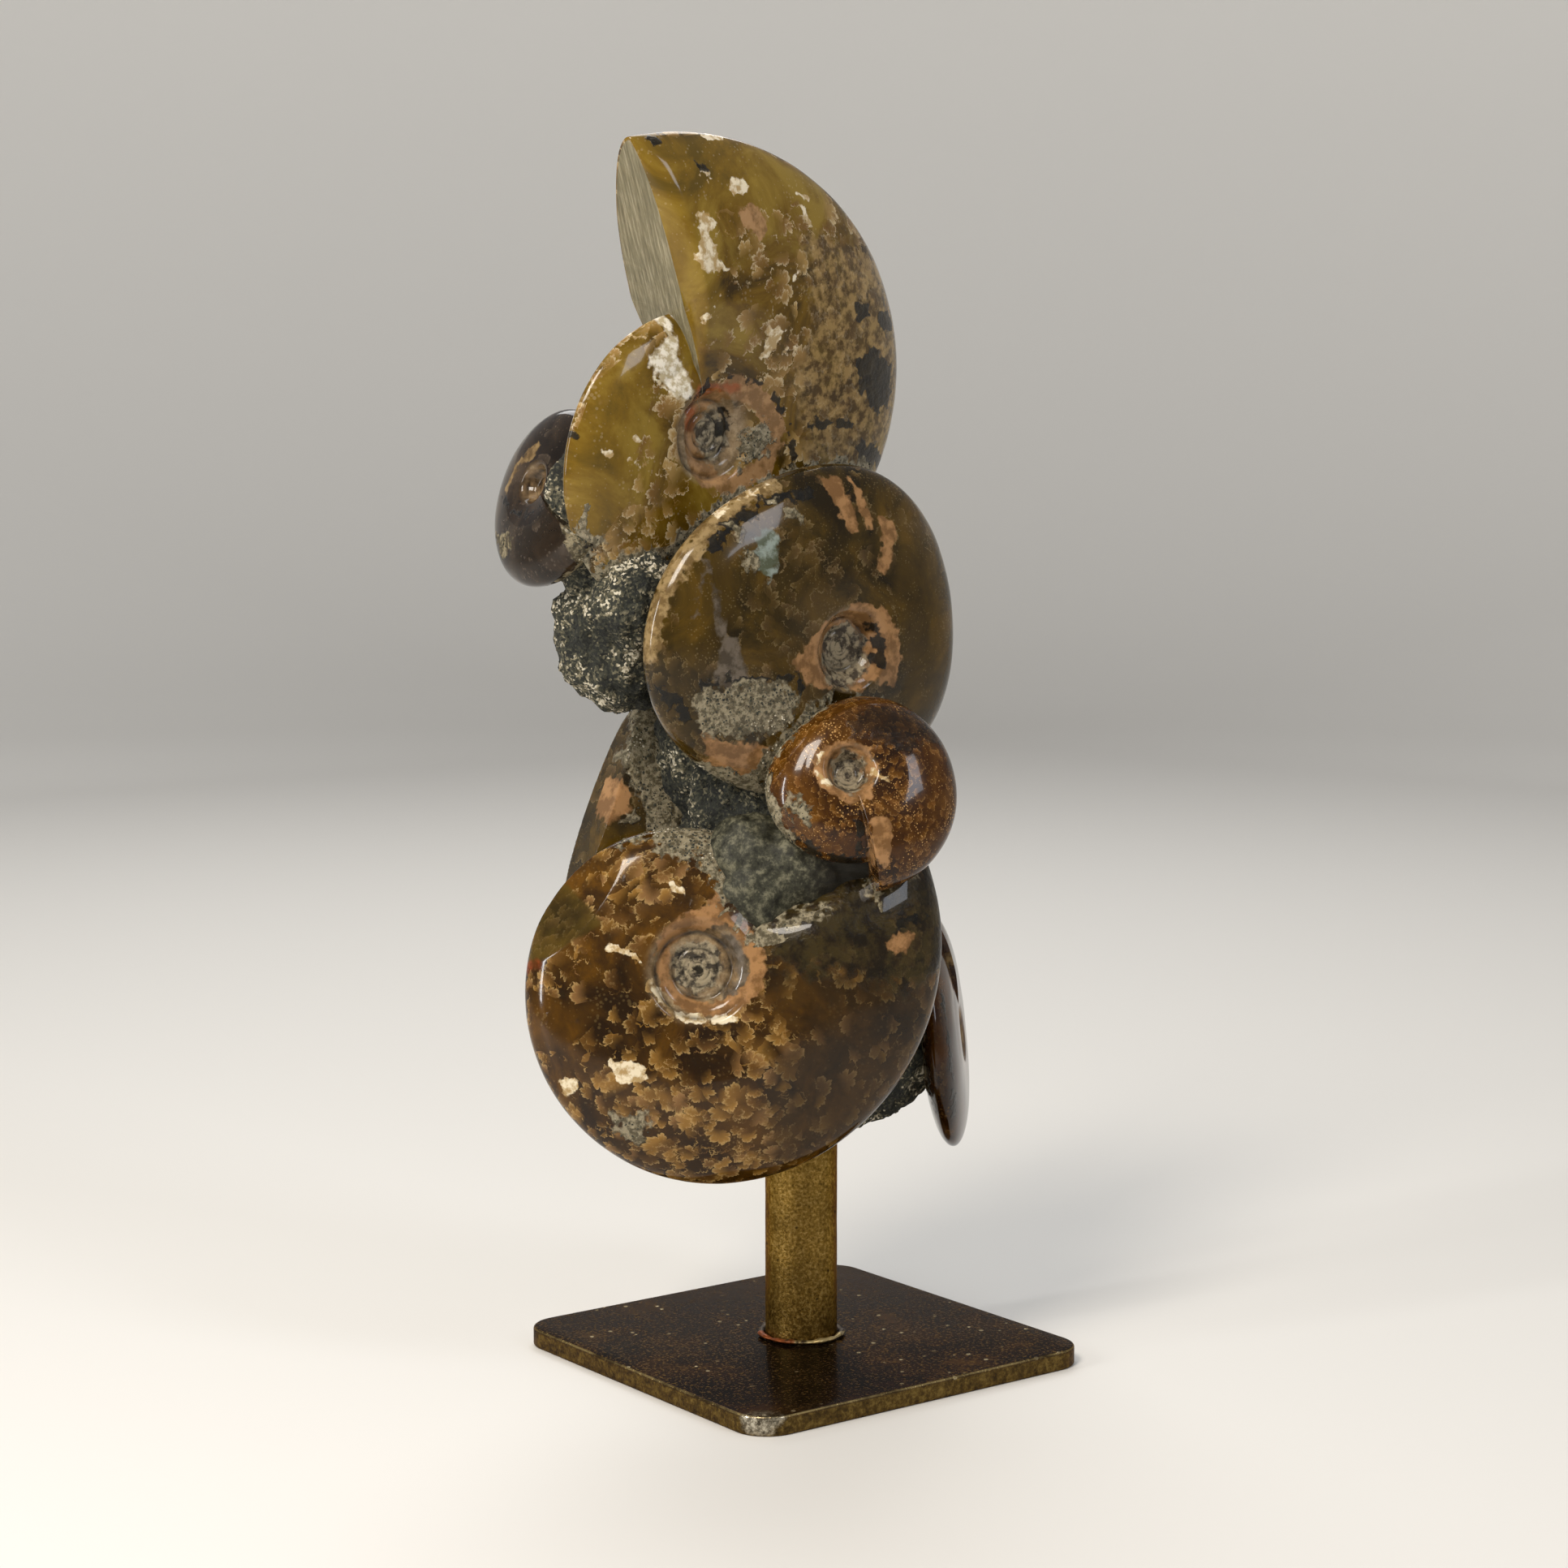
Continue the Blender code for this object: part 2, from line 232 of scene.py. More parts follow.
def leaf_group() -> bpy.types.NodeTree:
    """Shader group for one layer of frilled leaves, one leaf to a cell.

    A leaf has seven round lobes with narrow notches between them, and each lobe has
    three smaller ones. It is bright at its tip's edge and fades towards its stem.

    Returns:
        The group, which gives how much a leaf hides, its edge and its own tone.
    """
    tree = bpy.data.node_groups.new("frilled leaves", "ShaderNodeTree")
    tree.interface.new_socket("Place", in_out="INPUT", socket_type="NodeSocketVector")
    for name in ("Size", "Turn", "Seed", "Cover"):
        tree.interface.new_socket(name, in_out="INPUT", socket_type="NodeSocketFloat")
    for name in ("Hides", "Edge", "Tone"):
        tree.interface.new_socket(name, in_out="OUTPUT", socket_type="NodeSocketFloat")
    n = Wiring(tree)
    given = n.add("NodeGroupInput").node.outputs
    place = n.add(VECTOR, given["Place"], operation="SCALE")
    per = n.add(MATH, 1.0, given["Size"], operation="DIVIDE")
    tree.links.new(per, place.node.inputs["Scale"])
    place = n.add(VECTOR, place, given["Seed"], operation="ADD")
    # The leaves' tips point along the coil
    flat = n.add(SPLIT, given["Place"]).node.outputs
    along = n.add(MATH, flat["Y"], flat["X"], operation="ARCTAN2")
    lean = n.add(MATH, given["Turn"], along, operation="SUBTRACT")
    # Bends the rows of leaves and frills each edge
    for scale, much in ((1.3, 0.50), (6.0, 0.13)):
        bend = n.add(NOISE, place, inputs={"Scale": scale, "Detail": 2.0})
        grey = (0.5, 0.5, 0.5)
        bend = n.add(VECTOR, bend.node.outputs["Color"], grey, operation="SUBTRACT")
        bend = n.add(VECTOR, bend, operation="SCALE")
        bend.node.inputs["Scale"].default_value = much
        place = n.add(VECTOR, place, bend, operation="ADD")
    cell = n.add(CELLS, place, voronoi_dimensions="2D", inputs={"Scale": 1.0})
    away = n.add(VECTOR, place, cell.node.outputs["Position"], operation="SUBTRACT")
    chance = n.add("ShaderNodeSeparateColor", cell.node.outputs["Color"]).node.outputs
    turn = n.add(MATH, chance[0], 2.0, lean, operation="MULTIPLY_ADD")
    centre = (0.0, 0.0, 0.0)
    away = n.add("ShaderNodeVectorRotate", away, centre, turn, rotation_type="Z_AXIS")
    part = n.add(SPLIT, away).node.outputs
    around = n.add(MATH, part["Y"], part["X"], operation="ARCTAN2")
    far = n.add(MATH, part["Y"], part["Y"], operation="MULTIPLY")
    far = n.add(MATH, part["X"], part["X"], far, operation="MULTIPLY_ADD")
    far = n.add(MATH, far, operation="SQRT")
    reach = n.add(MATH, chance[1], 0.16, 0.12, operation="MULTIPLY_ADD")
    for lobes, much, power in ((3.5, 0.19, 0.55), (10.5, 0.06, 0.8)):
        lobe = n.add(MATH, around, lobes, operation="MULTIPLY")
        lobe = n.add(MATH, n.add(MATH, lobe, operation="COSINE"), operation="ABSOLUTE")
        lobe = n.add(MATH, lobe, power, operation="POWER")
        reach = n.add(MATH, lobe, much, reach, operation="MULTIPLY_ADD")
    place_in = n.add(MATH, far, reach, operation="DIVIDE")
    inside = n.add(RANGE, place_in, 0.95, 1.03, 1.0, 0.0)
    there = n.add(MATH, chance[2], given["Cover"], operation="LESS_THAN")
    stem = n.add(RANGE, part["X"], -0.22, 0.24, 0.0, 1.0)
    hides = n.add(MATH, inside, stem, operation="MULTIPLY")
    hides = n.add(MATH, hides, there, operation="MULTIPLY")
    edge = n.add(RANGE, place_in, 0.62, 1.0, 0.0, 1.0)
    edge = n.add(MATH, edge, edge, operation="MULTIPLY")
    tip = n.add(RANGE, part["X"], -0.05, 0.22, 0.0, 1.0)
    edge = n.add(MATH, edge, tip, operation="MULTIPLY")
    # Now and then only a bright thread shows where a leaf's edge is
    thread = n.add(MATH, given["Cover"], 1.35, operation="MULTIPLY")
    thread = n.add(MATH, chance[2], thread, operation="LESS_THAN")
    thread = n.add(MATH, thread, there, operation="SUBTRACT")
    line = n.add(RANGE, place_in, 0.86, 0.93, 0.0, 1.0)
    line = n.add(MATH, line, inside, operation="MULTIPLY")
    half = n.add(RANGE, part["Y"], -0.05, 0.12, 0.0, 1.0)
    line = n.add(MATH, line, half, operation="MULTIPLY")
    line = n.add(MATH, line, thread, operation="MULTIPLY")
    hides = n.add(MATH, hides, line, operation="MAXIMUM")
    n.add("NodeGroupOutput", hides, edge, chance[1])
    return tree


@dataclass(frozen=True)
class Calcite:
    """Polished calcite that fills a fossil shell.

    It is ground and polished to a clear gloss, and light sinks into it a little.
    The walls between the shell's chambers show in it as frilled leaves with a
    bright edge that fade into the clear honey behind.

    Attributes:
        name: Material name.
        clear: Hex codes of the clear calcite, from dark to light.
        leaf: Hex codes of the leaves' edge, two light leaves and a dark leaf.
        leaf_mm: Size of the cell that holds one leaf.
        cover: Share of the cells that hold one, 0 to 1.
        solid: How well the leaves hide what lies behind them, 0 to 1.
        fleck: How strong the small pale flecks are, 0 to 1.
        fleck_mm: Size of the small pale flecks.
        rough: Roughness of the polish.
        deep: How much the polish deepens the colours, 1 for not at all.
    """

    name: str
    clear: tuple[str, str, str]
    leaf: tuple[str, str, str, str]
    leaf_mm: float = 9.0
    cover: float = 0.8
    solid: float = 0.85
    fleck: float = 0.3
    fleck_mm: float = 1.2
    rough: float = 0.16
    deep: float = 1.12

    def leaves(self, n: Wiring, base: Any, clear: Any, here: Any) -> Any:
        """Lays the leaves over the clear calcite.

        Args:
            n: The material's wiring.
            base: Colour of the clear calcite.
            clear: How far inside a place without leaves, 0.5 at its outline.
            here: Object coordinates.

        Returns:
            Colour with the leaves.
        """
        group = bpy.data.node_groups.get("frilled leaves") or leaf_group()
        edge, light, second, dark = self.leaf
        flat = n.stored("flat", "Vector")
        # Where leaves are thick on the ground and where they thin out, 25 mm across
        region = n.add(NOISE, here, inputs={"Scale": 40.0, "Detail": 3.0})
        cover = n.add(RANGE, region, 0.38, 0.62, 0.15 * self.cover, self.cover)
        thin = n.add(RANGE, clear, 0.44, 0.62, 1.0, 0.0, interpolation_type="SMOOTHSTEP")
        cover = n.add(MATH, cover, thin, operation="MULTIPLY")
        # The clear calcite looks darker between crowded leaves
        depth = n.add(RANGE, cover, 0.3 * self.cover, self.cover, 0.0, 0.5)
        base = n.add(MIX, depth, base, self.clear[0], data_type="RGBA")
        # Five layers, each with smaller leaves than the one below
        layers = (
            *((1.0, 0.4, light), (0.85, -1.8, second), (0.72, -0.6, light)),
            *((0.61, 0.9, second), (0.5, -1.2, light)),
        )
        for size, turn, fill in layers:
            leaf = n.add("ShaderNodeGroup", node_tree=group).node
            n.tree.links.new(flat, leaf.inputs["Place"])
            leaf.inputs["Seed"].default_value = LEAF_SEED + size * LEAF_SEED_STEP
            n.tree.links.new(cover, leaf.inputs["Cover"])
            leaf.inputs["Size"].default_value = self.leaf_mm * MM * size
            leaf.inputs["Turn"].default_value = turn
            tone = n.add(MIX, leaf.outputs["Tone"], dark, fill, data_type="RGBA")
            rim = n.add(RANGE, leaf.outputs["Edge"], 0.0, 1.0, 0.0, 0.75)
            tone = n.add(MIX, rim, tone, edge, data_type="RGBA")
            hides = n.add(MATH, leaf.outputs["Hides"], self.solid, operation="MULTIPLY")
            base = n.add(MIX, hides, base, tone, data_type="RGBA")
        return base

    def material(self, kinds: set[Stain], ground: bool) -> bpy.types.Material:
        """Builds the material.

        Args:
            kinds: Stains that the shell's mesh carries.
            ground: True where the cut mouth shows and is left unpolished.

        Returns:
            The material.
        """
        made, n, shader = shader_of(
            self.name,
            IOR=1.50,
            Subsurface_Weight=0.10,
            Subsurface_Scale=0.003,
            Subsurface_Radius=(1.0, 0.55, 0.2),
            Specular_IOR_Level=0.12,
            Coat_Weight=0.34,
            Coat_Roughness=0.05,
        )
        here = n.here()
        clear = n.stored(Stain.CLEAR.value)
        # Cloudy depth of the clear calcite, about 18 mm across
        cloud = n.add(
            NOISE,
            here,
            inputs={"Scale": 55.0, "Detail": 7.0, "Roughness": 0.66, "Distortion": 0.7},
        )
        dark, mid, light = self.clear
        base = n.add(RAMP, cloud, stops=((0.37, dark), (0.50, mid), (0.64, light)))
        bright = n.add(RANGE, clear, 0.45, 0.75, 0.0, 0.28)
        base = n.add(MIX, bright, base, light, data_type="RGBA")
        base = self.leaves(n, base, clear, here)
        # The worn inner whorls in the navel are duller and greyer
        inner = n.stored("inner")
        groove = n.stored("groove")
        worn = n.add(NOISE, here, inputs={"Scale": 230.0, "Detail": 6.0, "Roughness": 0.65})
        worn = n.add(
            RAMP,
            worn,
            stops=((0.32, "#4a3f2f"), (0.48, "#857156"), (0.60, "#a38f71"), (0.72, "#cbbfa3")),
        )
        much = n.add(MATH, inner, 0.9, operation="MULTIPLY")
        base = n.add(MIX, much, base, worn, data_type="RGBA")
        fleck = n.add(CELLS, here, inputs={"Scale": 1.0 / (self.fleck_mm * MM)})
        spread = n.add(NOISE, here, inputs={"Scale": 130.0, "Detail": 4.0})
        fleck = n.add(MATH, spread, fleck, operation="SUBTRACT")
        fleck = n.add(RANGE, fleck, 0.28, 0.40, 0.0, self.fleck)
        base = n.add(MIX, fleck, base, self.leaf[0], data_type="RGBA")
        rough = self.rough
        bump: Any = 0.0
        wander = n.add(NOISE, here, inputs={"Scale": 210.0, "Detail": 6.0, "Roughness": 0.62})
        scallop = n.add(CELLS, here, inputs={"Scale": 520.0})
        wander = n.add(MATH, scallop, 0.34, wander, operation="MULTIPLY_ADD")
        for layer in LAYERS:
            if layer.stain not in kinds:
                continue
            there = n.stored(layer.stain.value)
            reach = layer.ragged / STAIN_SPAN_MM
            shift = n.add(RANGE, wander, 0.34, 0.98, -reach / 2, reach / 2)
            there = n.add(MATH, there, shift, operation="ADD")
            half = layer.soft / STAIN_SPAN_MM / 2
            there = n.add(
                RANGE,
                *(there, 0.5 - half, 0.5 + half, 0.0, layer.cover),
                interpolation_type="SMOOTHSTEP",
            )
            speck = n.add(
                NOISE,
                here,
                inputs={"Scale": 0.5 / (layer.patch_mm * MM), "Detail": 5.0, "Roughness": 0.62},
            )
            blend = n.add(RANGE, speck, 0.43, 0.57, 0.0, 1.0)
            tone = n.add(MIX, blend, layer.first, layer.second, data_type="RGBA")
            base = n.add(MIX, there, base, tone, data_type="RGBA")
            if layer.rough >= 0.0:
                rough = n.add(MIX, there, rough, layer.rough, data_type="FLOAT")
                raised = n.add(MATH, there, speck, operation="MULTIPLY")
                bump = n.add(MATH, bump, raised, operation="MAXIMUM")
        line = n.add(RANGE, groove, 0.25, 0.8, 0.0, 0.75)
        base = n.add(MIX, line, base, "#1d150b", data_type="RGBA")
        base = n.add("ShaderNodeGamma", base, self.deep)
        if ground:
            base, rough = self.ground_face(n, base, rough)
        n.tree.links.new(base, shader.inputs["Base Color"])
        if isinstance(rough, bpy.types.NodeSocket):
            n.tree.links.new(rough, shader.inputs["Roughness"])
        else:
            shader.inputs["Roughness"].default_value = rough
        relief = n.add("ShaderNodeBump", 0.8, 0.0008, inputs={"Height": bump})
        n.tree.links.new(relief, shader.inputs["Normal"])
        return made

    def ground_face(self, n: Wiring, base: Any, rough: Any) -> tuple[Any, Any]:
        """Adds the pale sawn face, with fine lines left by the grinding belt.

        Args:
            n: The material's wiring.
            base: Colour so far.
            rough: Roughness so far.

        Returns:
            Colour and roughness with the face.
        """
        coil = n.stored("coil", "Vector")
        mouth = n.stored("mouth")
        lines = n.add(
            "ShaderNodeMapping", coil, None, None, (60.0, 120.0, 1500.0), vector_type="POINT"
        )
        line = n.add(NOISE, lines, inputs={"Scale": 1.0, "Detail": 5.0, "Roughness": 0.7})
        tone = n.add(RAMP, line, stops=((0.30, "#595340"), (0.5, "#766f57"), (0.72, "#a39a80")))
        mask = n.add(RANGE, mouth, 0.35, 0.6, 0.0, 0.95)
        base = n.add(MIX, mask, base, tone, data_type="RGBA")
        rough = n.add(MIX, mask, rough, 0.42, data_type="FLOAT")
        return base, rough


HONEY = Calcite(
    "polished honey calcite",
    clear=("#38290a", "#694e10", "#8a712a"),
    deep=1.0,
    leaf=("#e6d6b0", "#ad8d54", "#a2824f", "#6d4b20"),
    leaf_mm=10.0,
    cover=0.72,
    fleck=0.1,
)
AMBER = Calcite(
    "polished amber calcite",
    clear=("#2e1e07", "#4a320c", "#6b4a12"),
    deep=1.15,
    leaf=("#cdb17a", "#9a763c", "#95734a", "#5f421a"),
    leaf_mm=9.0,
    cover=0.66,
    fleck=0.1,
)
OLIVE = Calcite(
    "polished olive calcite",
    clear=("#2a2008", "#44350e", "#624b17"),
    leaf=("#a6926a", "#6d5830", "#755f42", "#4c3817"),
    leaf_mm=8.0,
    cover=0.45,
    solid=0.55,
    fleck=0.2,
    fleck_mm=0.8,
)
GRAINY_AMBER = Calcite(
    "grainy amber calcite",
    clear=("#2a1806", "#50310b", "#704b16"),
    leaf=("#c49c62", "#7b541e", "#8a6030", "#50300b"),
    leaf_mm=4.0,
    cover=0.45,
    solid=0.65,
    fleck=0.8,
    fleck_mm=0.7,
    rough=0.2,
)
GREY_SHELL = Calcite(
    "polished grey shell wall",
    clear=("#2b2218", "#4a3d2f", "#6c5d4c"),
    leaf=("#94877a", "#75685a", "#6a5c4c", "#4a3e30"),
    cover=0.1,
    solid=0.4,
    fleck=0.25,
    rough=0.12,
    deep=1.3,
)
BROWN_SHELL = Calcite(
    "polished brown shell wall",
    clear=("#321d08", "#593912", "#7d5724"),
    leaf=("#8d7650", "#6d5533", "#6d5533", "#4f391c"),
    cover=0.15,
    solid=0.4,
    fleck=0.3,
    deep=1.3,
)


@dataclass(frozen=True)
class Mark:
    """A stained place on a shell's flat side.

    Attributes:
        stain: What it is made of, or the painted shade or shadow that it stands for.
        reach: How far it spreads round its line, in millimetres.
        filled: True where the line is an outline that is filled in.
        line: Points as (across, up) from the coil's middle, in millimetres.
    """

    stain: Stain
    reach: float
    filled: bool
    line: tuple[tuple[float, float], ...]

    def depth(self, across: np.ndarray, up: np.ndarray) -> np.ndarray:
        """How far inside the mark each point is, in mm, below 0 outside."""
        ends = list(self.line[1:]) + ([self.line[0]] if self.filled else [])
        near = np.full(across.shape, 1e9)
        inside = np.zeros(across.shape, bool)
        for (x0, z0), (x1, z1) in zip(self.line, ends):
            dx, dz = x1 - x0, z1 - z0
            along = ((across - x0) * dx + (up - z0) * dz) / max(dx * dx + dz * dz, 1e-9)
            along = np.clip(along, 0.0, 1.0)
            away = np.hypot(across - x0 - along * dx, up - z0 - along * dz)
            near = np.minimum(near, away)
            if self.filled and dz:
                crossed = (z0 > up) != (z1 > up)
                inside ^= crossed & (across < x0 + (up - z0) * dx / dz)
        return self.reach + np.where(inside, near, -near)


def patch(stain: Stain, reach: float, *line: tuple[float, float]) -> Mark:
    """A mark that fills its outline and spreads by the reach."""
    return Mark(stain, reach, True, line)


def streak(stain: Stain, reach: float, *line: tuple[float, float]) -> Mark:
    """A mark that follows a line and spreads by the reach."""
    return Mark(stain, reach, False, line)


# Places on the shells. Their corners were picked by eye on the photo, turned into
# millimetres by a scratch script and rounded to half a millimetre
TOP_MARKS = (
    patch(
        Stain.SILVER, 0.9, (-14, 21.5), (-11.5, 15.5), (-8, 10), (-10, 9), (-14.5, 12),
        (-19, 16),
    ),
    streak(Stain.SILVER, 1.1, (-17.5, 37), (-15, 29.5), (-13, 23.5), (-12.5, 17.5)),
    streak(
        Stain.CRUST, 1.5, (-27, -37.5), (-17.5, -32), (-10.5, -26.5), (-3.5, -21.5),
        (6.5, -15.5), (16.5, -12), (28, -8), (40, -7), (54.5, -8.5),
    ),
    streak(
        Stain.DARK, 0.15, (-7, 8.5), (-2, 12.5), (6.5, 14), (16, 11), (22, 4), (24.5, -5),
        (21, -11.5),
    ),
    patch(
        Stain.CREAM, 0.2, (-12.5, 51.5), (-9.5, 50.5), (-7, 49), (-10, 47), (-8.5, 44.5),
        (-6.5, 41), (-3.5, 39), (-7, 37.5), (-11.5, 38.5), (-14, 41.5), (-11.5, 44.5),
        (-12.5, 47.5),
    ),
    streak(Stain.CREAM, 0.5, (21.5, 57), (25.5, 56)),
    streak(Stain.CREAM, 0.6, (22.5, 54), (24.5, 50.5)),
    patch(Stain.CREAM, 0.2, (11.5, 26), (16.5, 25), (15, 21.5), (13.5, 19), (11.5, 19)),
    streak(Stain.CREAM, 0.3, (18, 22), (20.5, 21), (20.5, 19.5), (18, 19.5)),
    streak(Stain.CREAM, 0.3, (-12, 58.5), (-9.5, 60.5), (-7.5, 59), (-9.5, 57), (-12, 57)),
    patch(Stain.CREAM, 0.3, (-0.5, 59), (3.5, 59), (3.5, 57), (0.5, 56), (-2, 57.5)),
    streak(Stain.CREAM, 0.5, (-5, 68.5), (1, 68.5)),
    streak(Stain.CREAM, 0.2, (17.5, 37), (21, 40), (26, 41.5)),
    streak(Stain.CREAM, 0.2, (-9, 27), (-7.5, 30), (-6, 32.5)),
    patch(Stain.CRUST, 0.3, (10, -0.5), (15.5, 3), (19, -1.5), (14, -5.5), (9.5, -7.5)),
    streak(Stain.CREAM, 0.4, (-34.5, -2.5), (-32.5, -4), (-30.5, -4.5)),
    streak(Stain.CREAM, 0.3, (-25, -5.5), (-22, -7.5)),
    streak(Stain.CREAM, 0.3, (-24, -1), (-20.5, -2)),
    streak(Stain.CREAM, 0.25, (-20, 15.5), (-11, 9.5)),
    streak(Stain.CREAM, 0.25, (-18.5, 13), (-13, 9)),
    streak(Stain.CREAM, 0.25, (-22.5, 22), (-19.5, 22)),
    patch(
        Stain.PINK, 0.2, (0.5, 51.5), (4.5, 53.5), (8.5, 52), (9, 49), (6.5, 46.5), (3.5, 47.5),
        (1.5, 49),
    ),
    streak(
        Stain.PINK, 2.6, (-1, 8.5), (5.5, 12), (13.5, 9), (19, 1.5), (16.5, -7), (7, -12),
        (-1, -9.5), (-3.5, -3), (-3.5, 3.5), (-1, 8.5),
    ),
    streak(Stain.ORANGE, 1.1, (-6, 6), (-5, 10), (0.5, 11.5), (6.5, 11)),
    streak(Stain.ORANGE, 1.2, (-5, 5.5), (-4.5, 1.5)),
    patch(
        Stain.DARK, 0.4, (43.5, 18), (50, 21.5), (58, 16.5), (58.5, 8), (51.5, 6.5),
        (45.5, 11.5),
    ),
    patch(Stain.DARK, 0.4, (41, 31), (45.5, 32), (47, 29.5), (43, 28)),
    patch(Stain.DARK, 0.4, (52, 29), (57.5, 29.5), (59.5, 26.5), (53, 26)),
    patch(Stain.DARK, 0.4, (46.5, -2), (56, -2.5), (60, -7), (49.5, -8)),
    streak(Stain.DARK, 0.5, (29, 2.5), (35.5, 3.5), (43.5, 2.5)),
    streak(Stain.DARK, 0.4, (-10.5, 61.5), (-9.5, 61)),
    streak(Stain.DARK, 0.3, (-21, 67), (-19.5, 66.5)),
    streak(Stain.DARK, 0.4, (-38, -0.5), (-37.5, -1)),
    # Painted shadow: a dark crescent at the right inside the navel hollow
    streak(Stain.DARK, 0.7, (5, 5.5), (6.5, 3), (5.5, 1)),
    patch(Stain.GREY, 0.6, (-1.5, 2.5), (1.5, 5), (5.5, 2.5), (6.5, -2), (3, -5.5), (-1, -3)),
    streak(Stain.CLEAR, 6.5, (-9, 27), (-26, 69)),
    patch(
        Stain.MOTTLE, 1, (24.5, 46), (50, 44.5), (59, 31), (62.5, 3), (49, -7.5), (30, -4.5),
        (25, 11.5), (26.5, 27),
    ),
    patch(
        Stain.CLEAR, 1, (-22.5, 66), (-3.5, 69), (14, 66.5), (29.5, 60), (16, 54.5), (-2, 54),
        (-15.5, 51), (-19, 57.5),
    ),
    patch(
        Stain.CLEAR, 1, (-37, -20), (-39, -5.5), (-32.5, 11.5), (-21.5, 19.5), (-20, 12),
        (-21.5, 1), (-25, -8.5), (-26, -16), (-30.5, -23.5), (-33.5, -28),
    ),
)
MIDDLE_MARKS = (
    streak(
        Stain.PALE, 1.5, (-19, 38.5), (-26, 36), (-32, 32.5), (-39, 27), (-44, 21.5),
        (-48.5, 15),
    ),
    streak(Stain.CREAM, 0.1, (-20, 38.5), (-28, 35.5), (-34.5, 31.5)),
    streak(Stain.PALE, 1, (-49.5, 13), (-52, 5.5), (-52.5, -0.5)),
    patch(
        Stain.PINK, 0.4, (-17.5, -2.5), (-12, 2.5), (-6.5, 7), (2, 11), (9, 9.5), (14, 3.5),
        (15, -3.5), (13.5, -9.5), (8, -7), (3.5, -10), (-4, -8), (-10, -9), (-13, -7),
    ),
    patch(Stain.PINK, 0.3, (-7, 40.5), (-3, 40), (-0.5, 35.5), (1, 28.5), (-1, 29), (-4, 33)),
    patch(Stain.PINK, 0.2, (1.5, 39.5), (3, 38), (6, 29), (4, 28.5), (2, 33.5)),
    patch(Stain.PINK, 0.3, (8.5, 30.5), (13, 29.5), (12, 24.5), (9, 18), (7, 19), (9, 25)),
    patch(
        Stain.PINK, 0.5, (-39.5, -18.5), (-35, -21), (-28, -21.5), (-23.5, -23), (-25.5, -29.5),
        (-30, -30.5), (-36.5, -25),
    ),
    patch(
        Stain.GREY, 0.4, (-4.5, -0.5), (-3, 5), (1.5, 6.5), (6, 2), (6, -5.5), (-0.5, -9.5),
        (-6.5, -7.5),
    ),
    # Painted shadow: a dark crescent at the right inside the navel hollow
    streak(Stain.DARK, 0.8, (5.5, 6.5), (8.5, 2.5), (9, -3.5)),
    streak(Stain.DARK, 0.9, (-38, 24.5), (-31, 30.5), (-24.5, 34), (-18, 36), (-12, 37)),
    streak(Stain.DARK, 0.5, (-44, -8.5), (-39, -6.5), (-28.5, -6), (-16, -5.5), (-16, -10)),
    streak(Stain.DARK, 0.9, (-50.5, -8), (-47.5, -10), (-43.5, -15)),
    patch(
        Stain.BLUE, 0.3, (-27.5, 26.5), (-24.5, 28.5), (-22, 26.5), (-23, 21.5), (-24.5, 17),
        (-27, 20),
    ),
    patch(
        Stain.CRUST, 0.4, (-43, -10), (-34.5, -7.5), (-23, -7), (-16.5, -10.5), (-18, -17),
        (-26.5, -19), (-37.5, -19), (-41.5, -16),
    ),
    streak(Stain.CRUST, 0.4, (-32, 29), (-29.5, 20)),
    streak(Stain.CRUST, 0.4, (-22, 34.5), (-15, 31)),
    patch(Stain.MAUVE, 0.4, (-36.5, 4), (-34, 3), (-30.5, -5), (-35, -8), (-39, -6)),
    streak(Stain.MAUVE, 0.6, (-40, 21.5), (-38.5, 12.5), (-37, 3)),
    streak(Stain.MAUVE, 0, (-40.5, 20), (-43.5, 8.5)),
    patch(
        Stain.CLEAR, 0.5, (15.5, 27.5), (27, 22), (34.5, 8), (34.5, -6), (30, -17.5),
        (17.5, -16.5), (16, -0.5), (12, 15),
    ),
    patch(
        Stain.CLEAR, 0.5, (-46.5, 16), (-39.5, 23.5), (-33, 22), (-34, 8.5), (-37, 3),
        (-42, -4.5), (-48, 1.5),
    ),
)
SMALL_MARKS = (
    patch(
        Stain.PINK, 1, (-8.5, 0.5), (-6.5, 4), (-1, 5.5), (3.5, 4.5), (5.5, -0.5), (3.5, -6),
        (-0.5, -7.5), (-5.5, -3.5),
    ),
    patch(Stain.GREY, 0.4, (-4, 2), (-1, 4.5), (3, 3), (3.5, -2), (-0.5, -6), (-3, -1.5)),
    streak(Stain.CREAM, 0.5, (5, -0.5), (8.5, -3)),
    streak(Stain.CREAM, 0.3, (-6.5, 4), (-8.5, 0), (-5.5, -3.5)),
    # Painted shadow: a dark line along the lower rim, where the shell meets the parts below
    streak(Stain.DARK, 0.4, (-18.5, 1.5), (-18, -6.5), (-13.5, -14), (-8, -18), (-3, -19.5)),
    streak(Stain.DARK, 0.7, (1.5, -12), (2, -17.5)),
    # Painted shadow at the bottom of the rim
    streak(Stain.DARK, 1, (-2.5, -19.5), (-0.5, -20), (1.5, -20)),
    patch(Stain.CRUST, 0.4, (-15.5, -6.5), (-12, -6.5), (-9.5, -9), (-11, -11.5), (-14.5, -10.5)),
    patch(Stain.PINK, 0.4, (3.5, -13), (8, -12), (8, -20), (7, -23), (4.5, -20)),
    patch(Stain.BROWN, 1.5, (2.5, 10.5), (6, 14.5), (19.5, 13), (21.5, 8.5), (12, 7)),
)
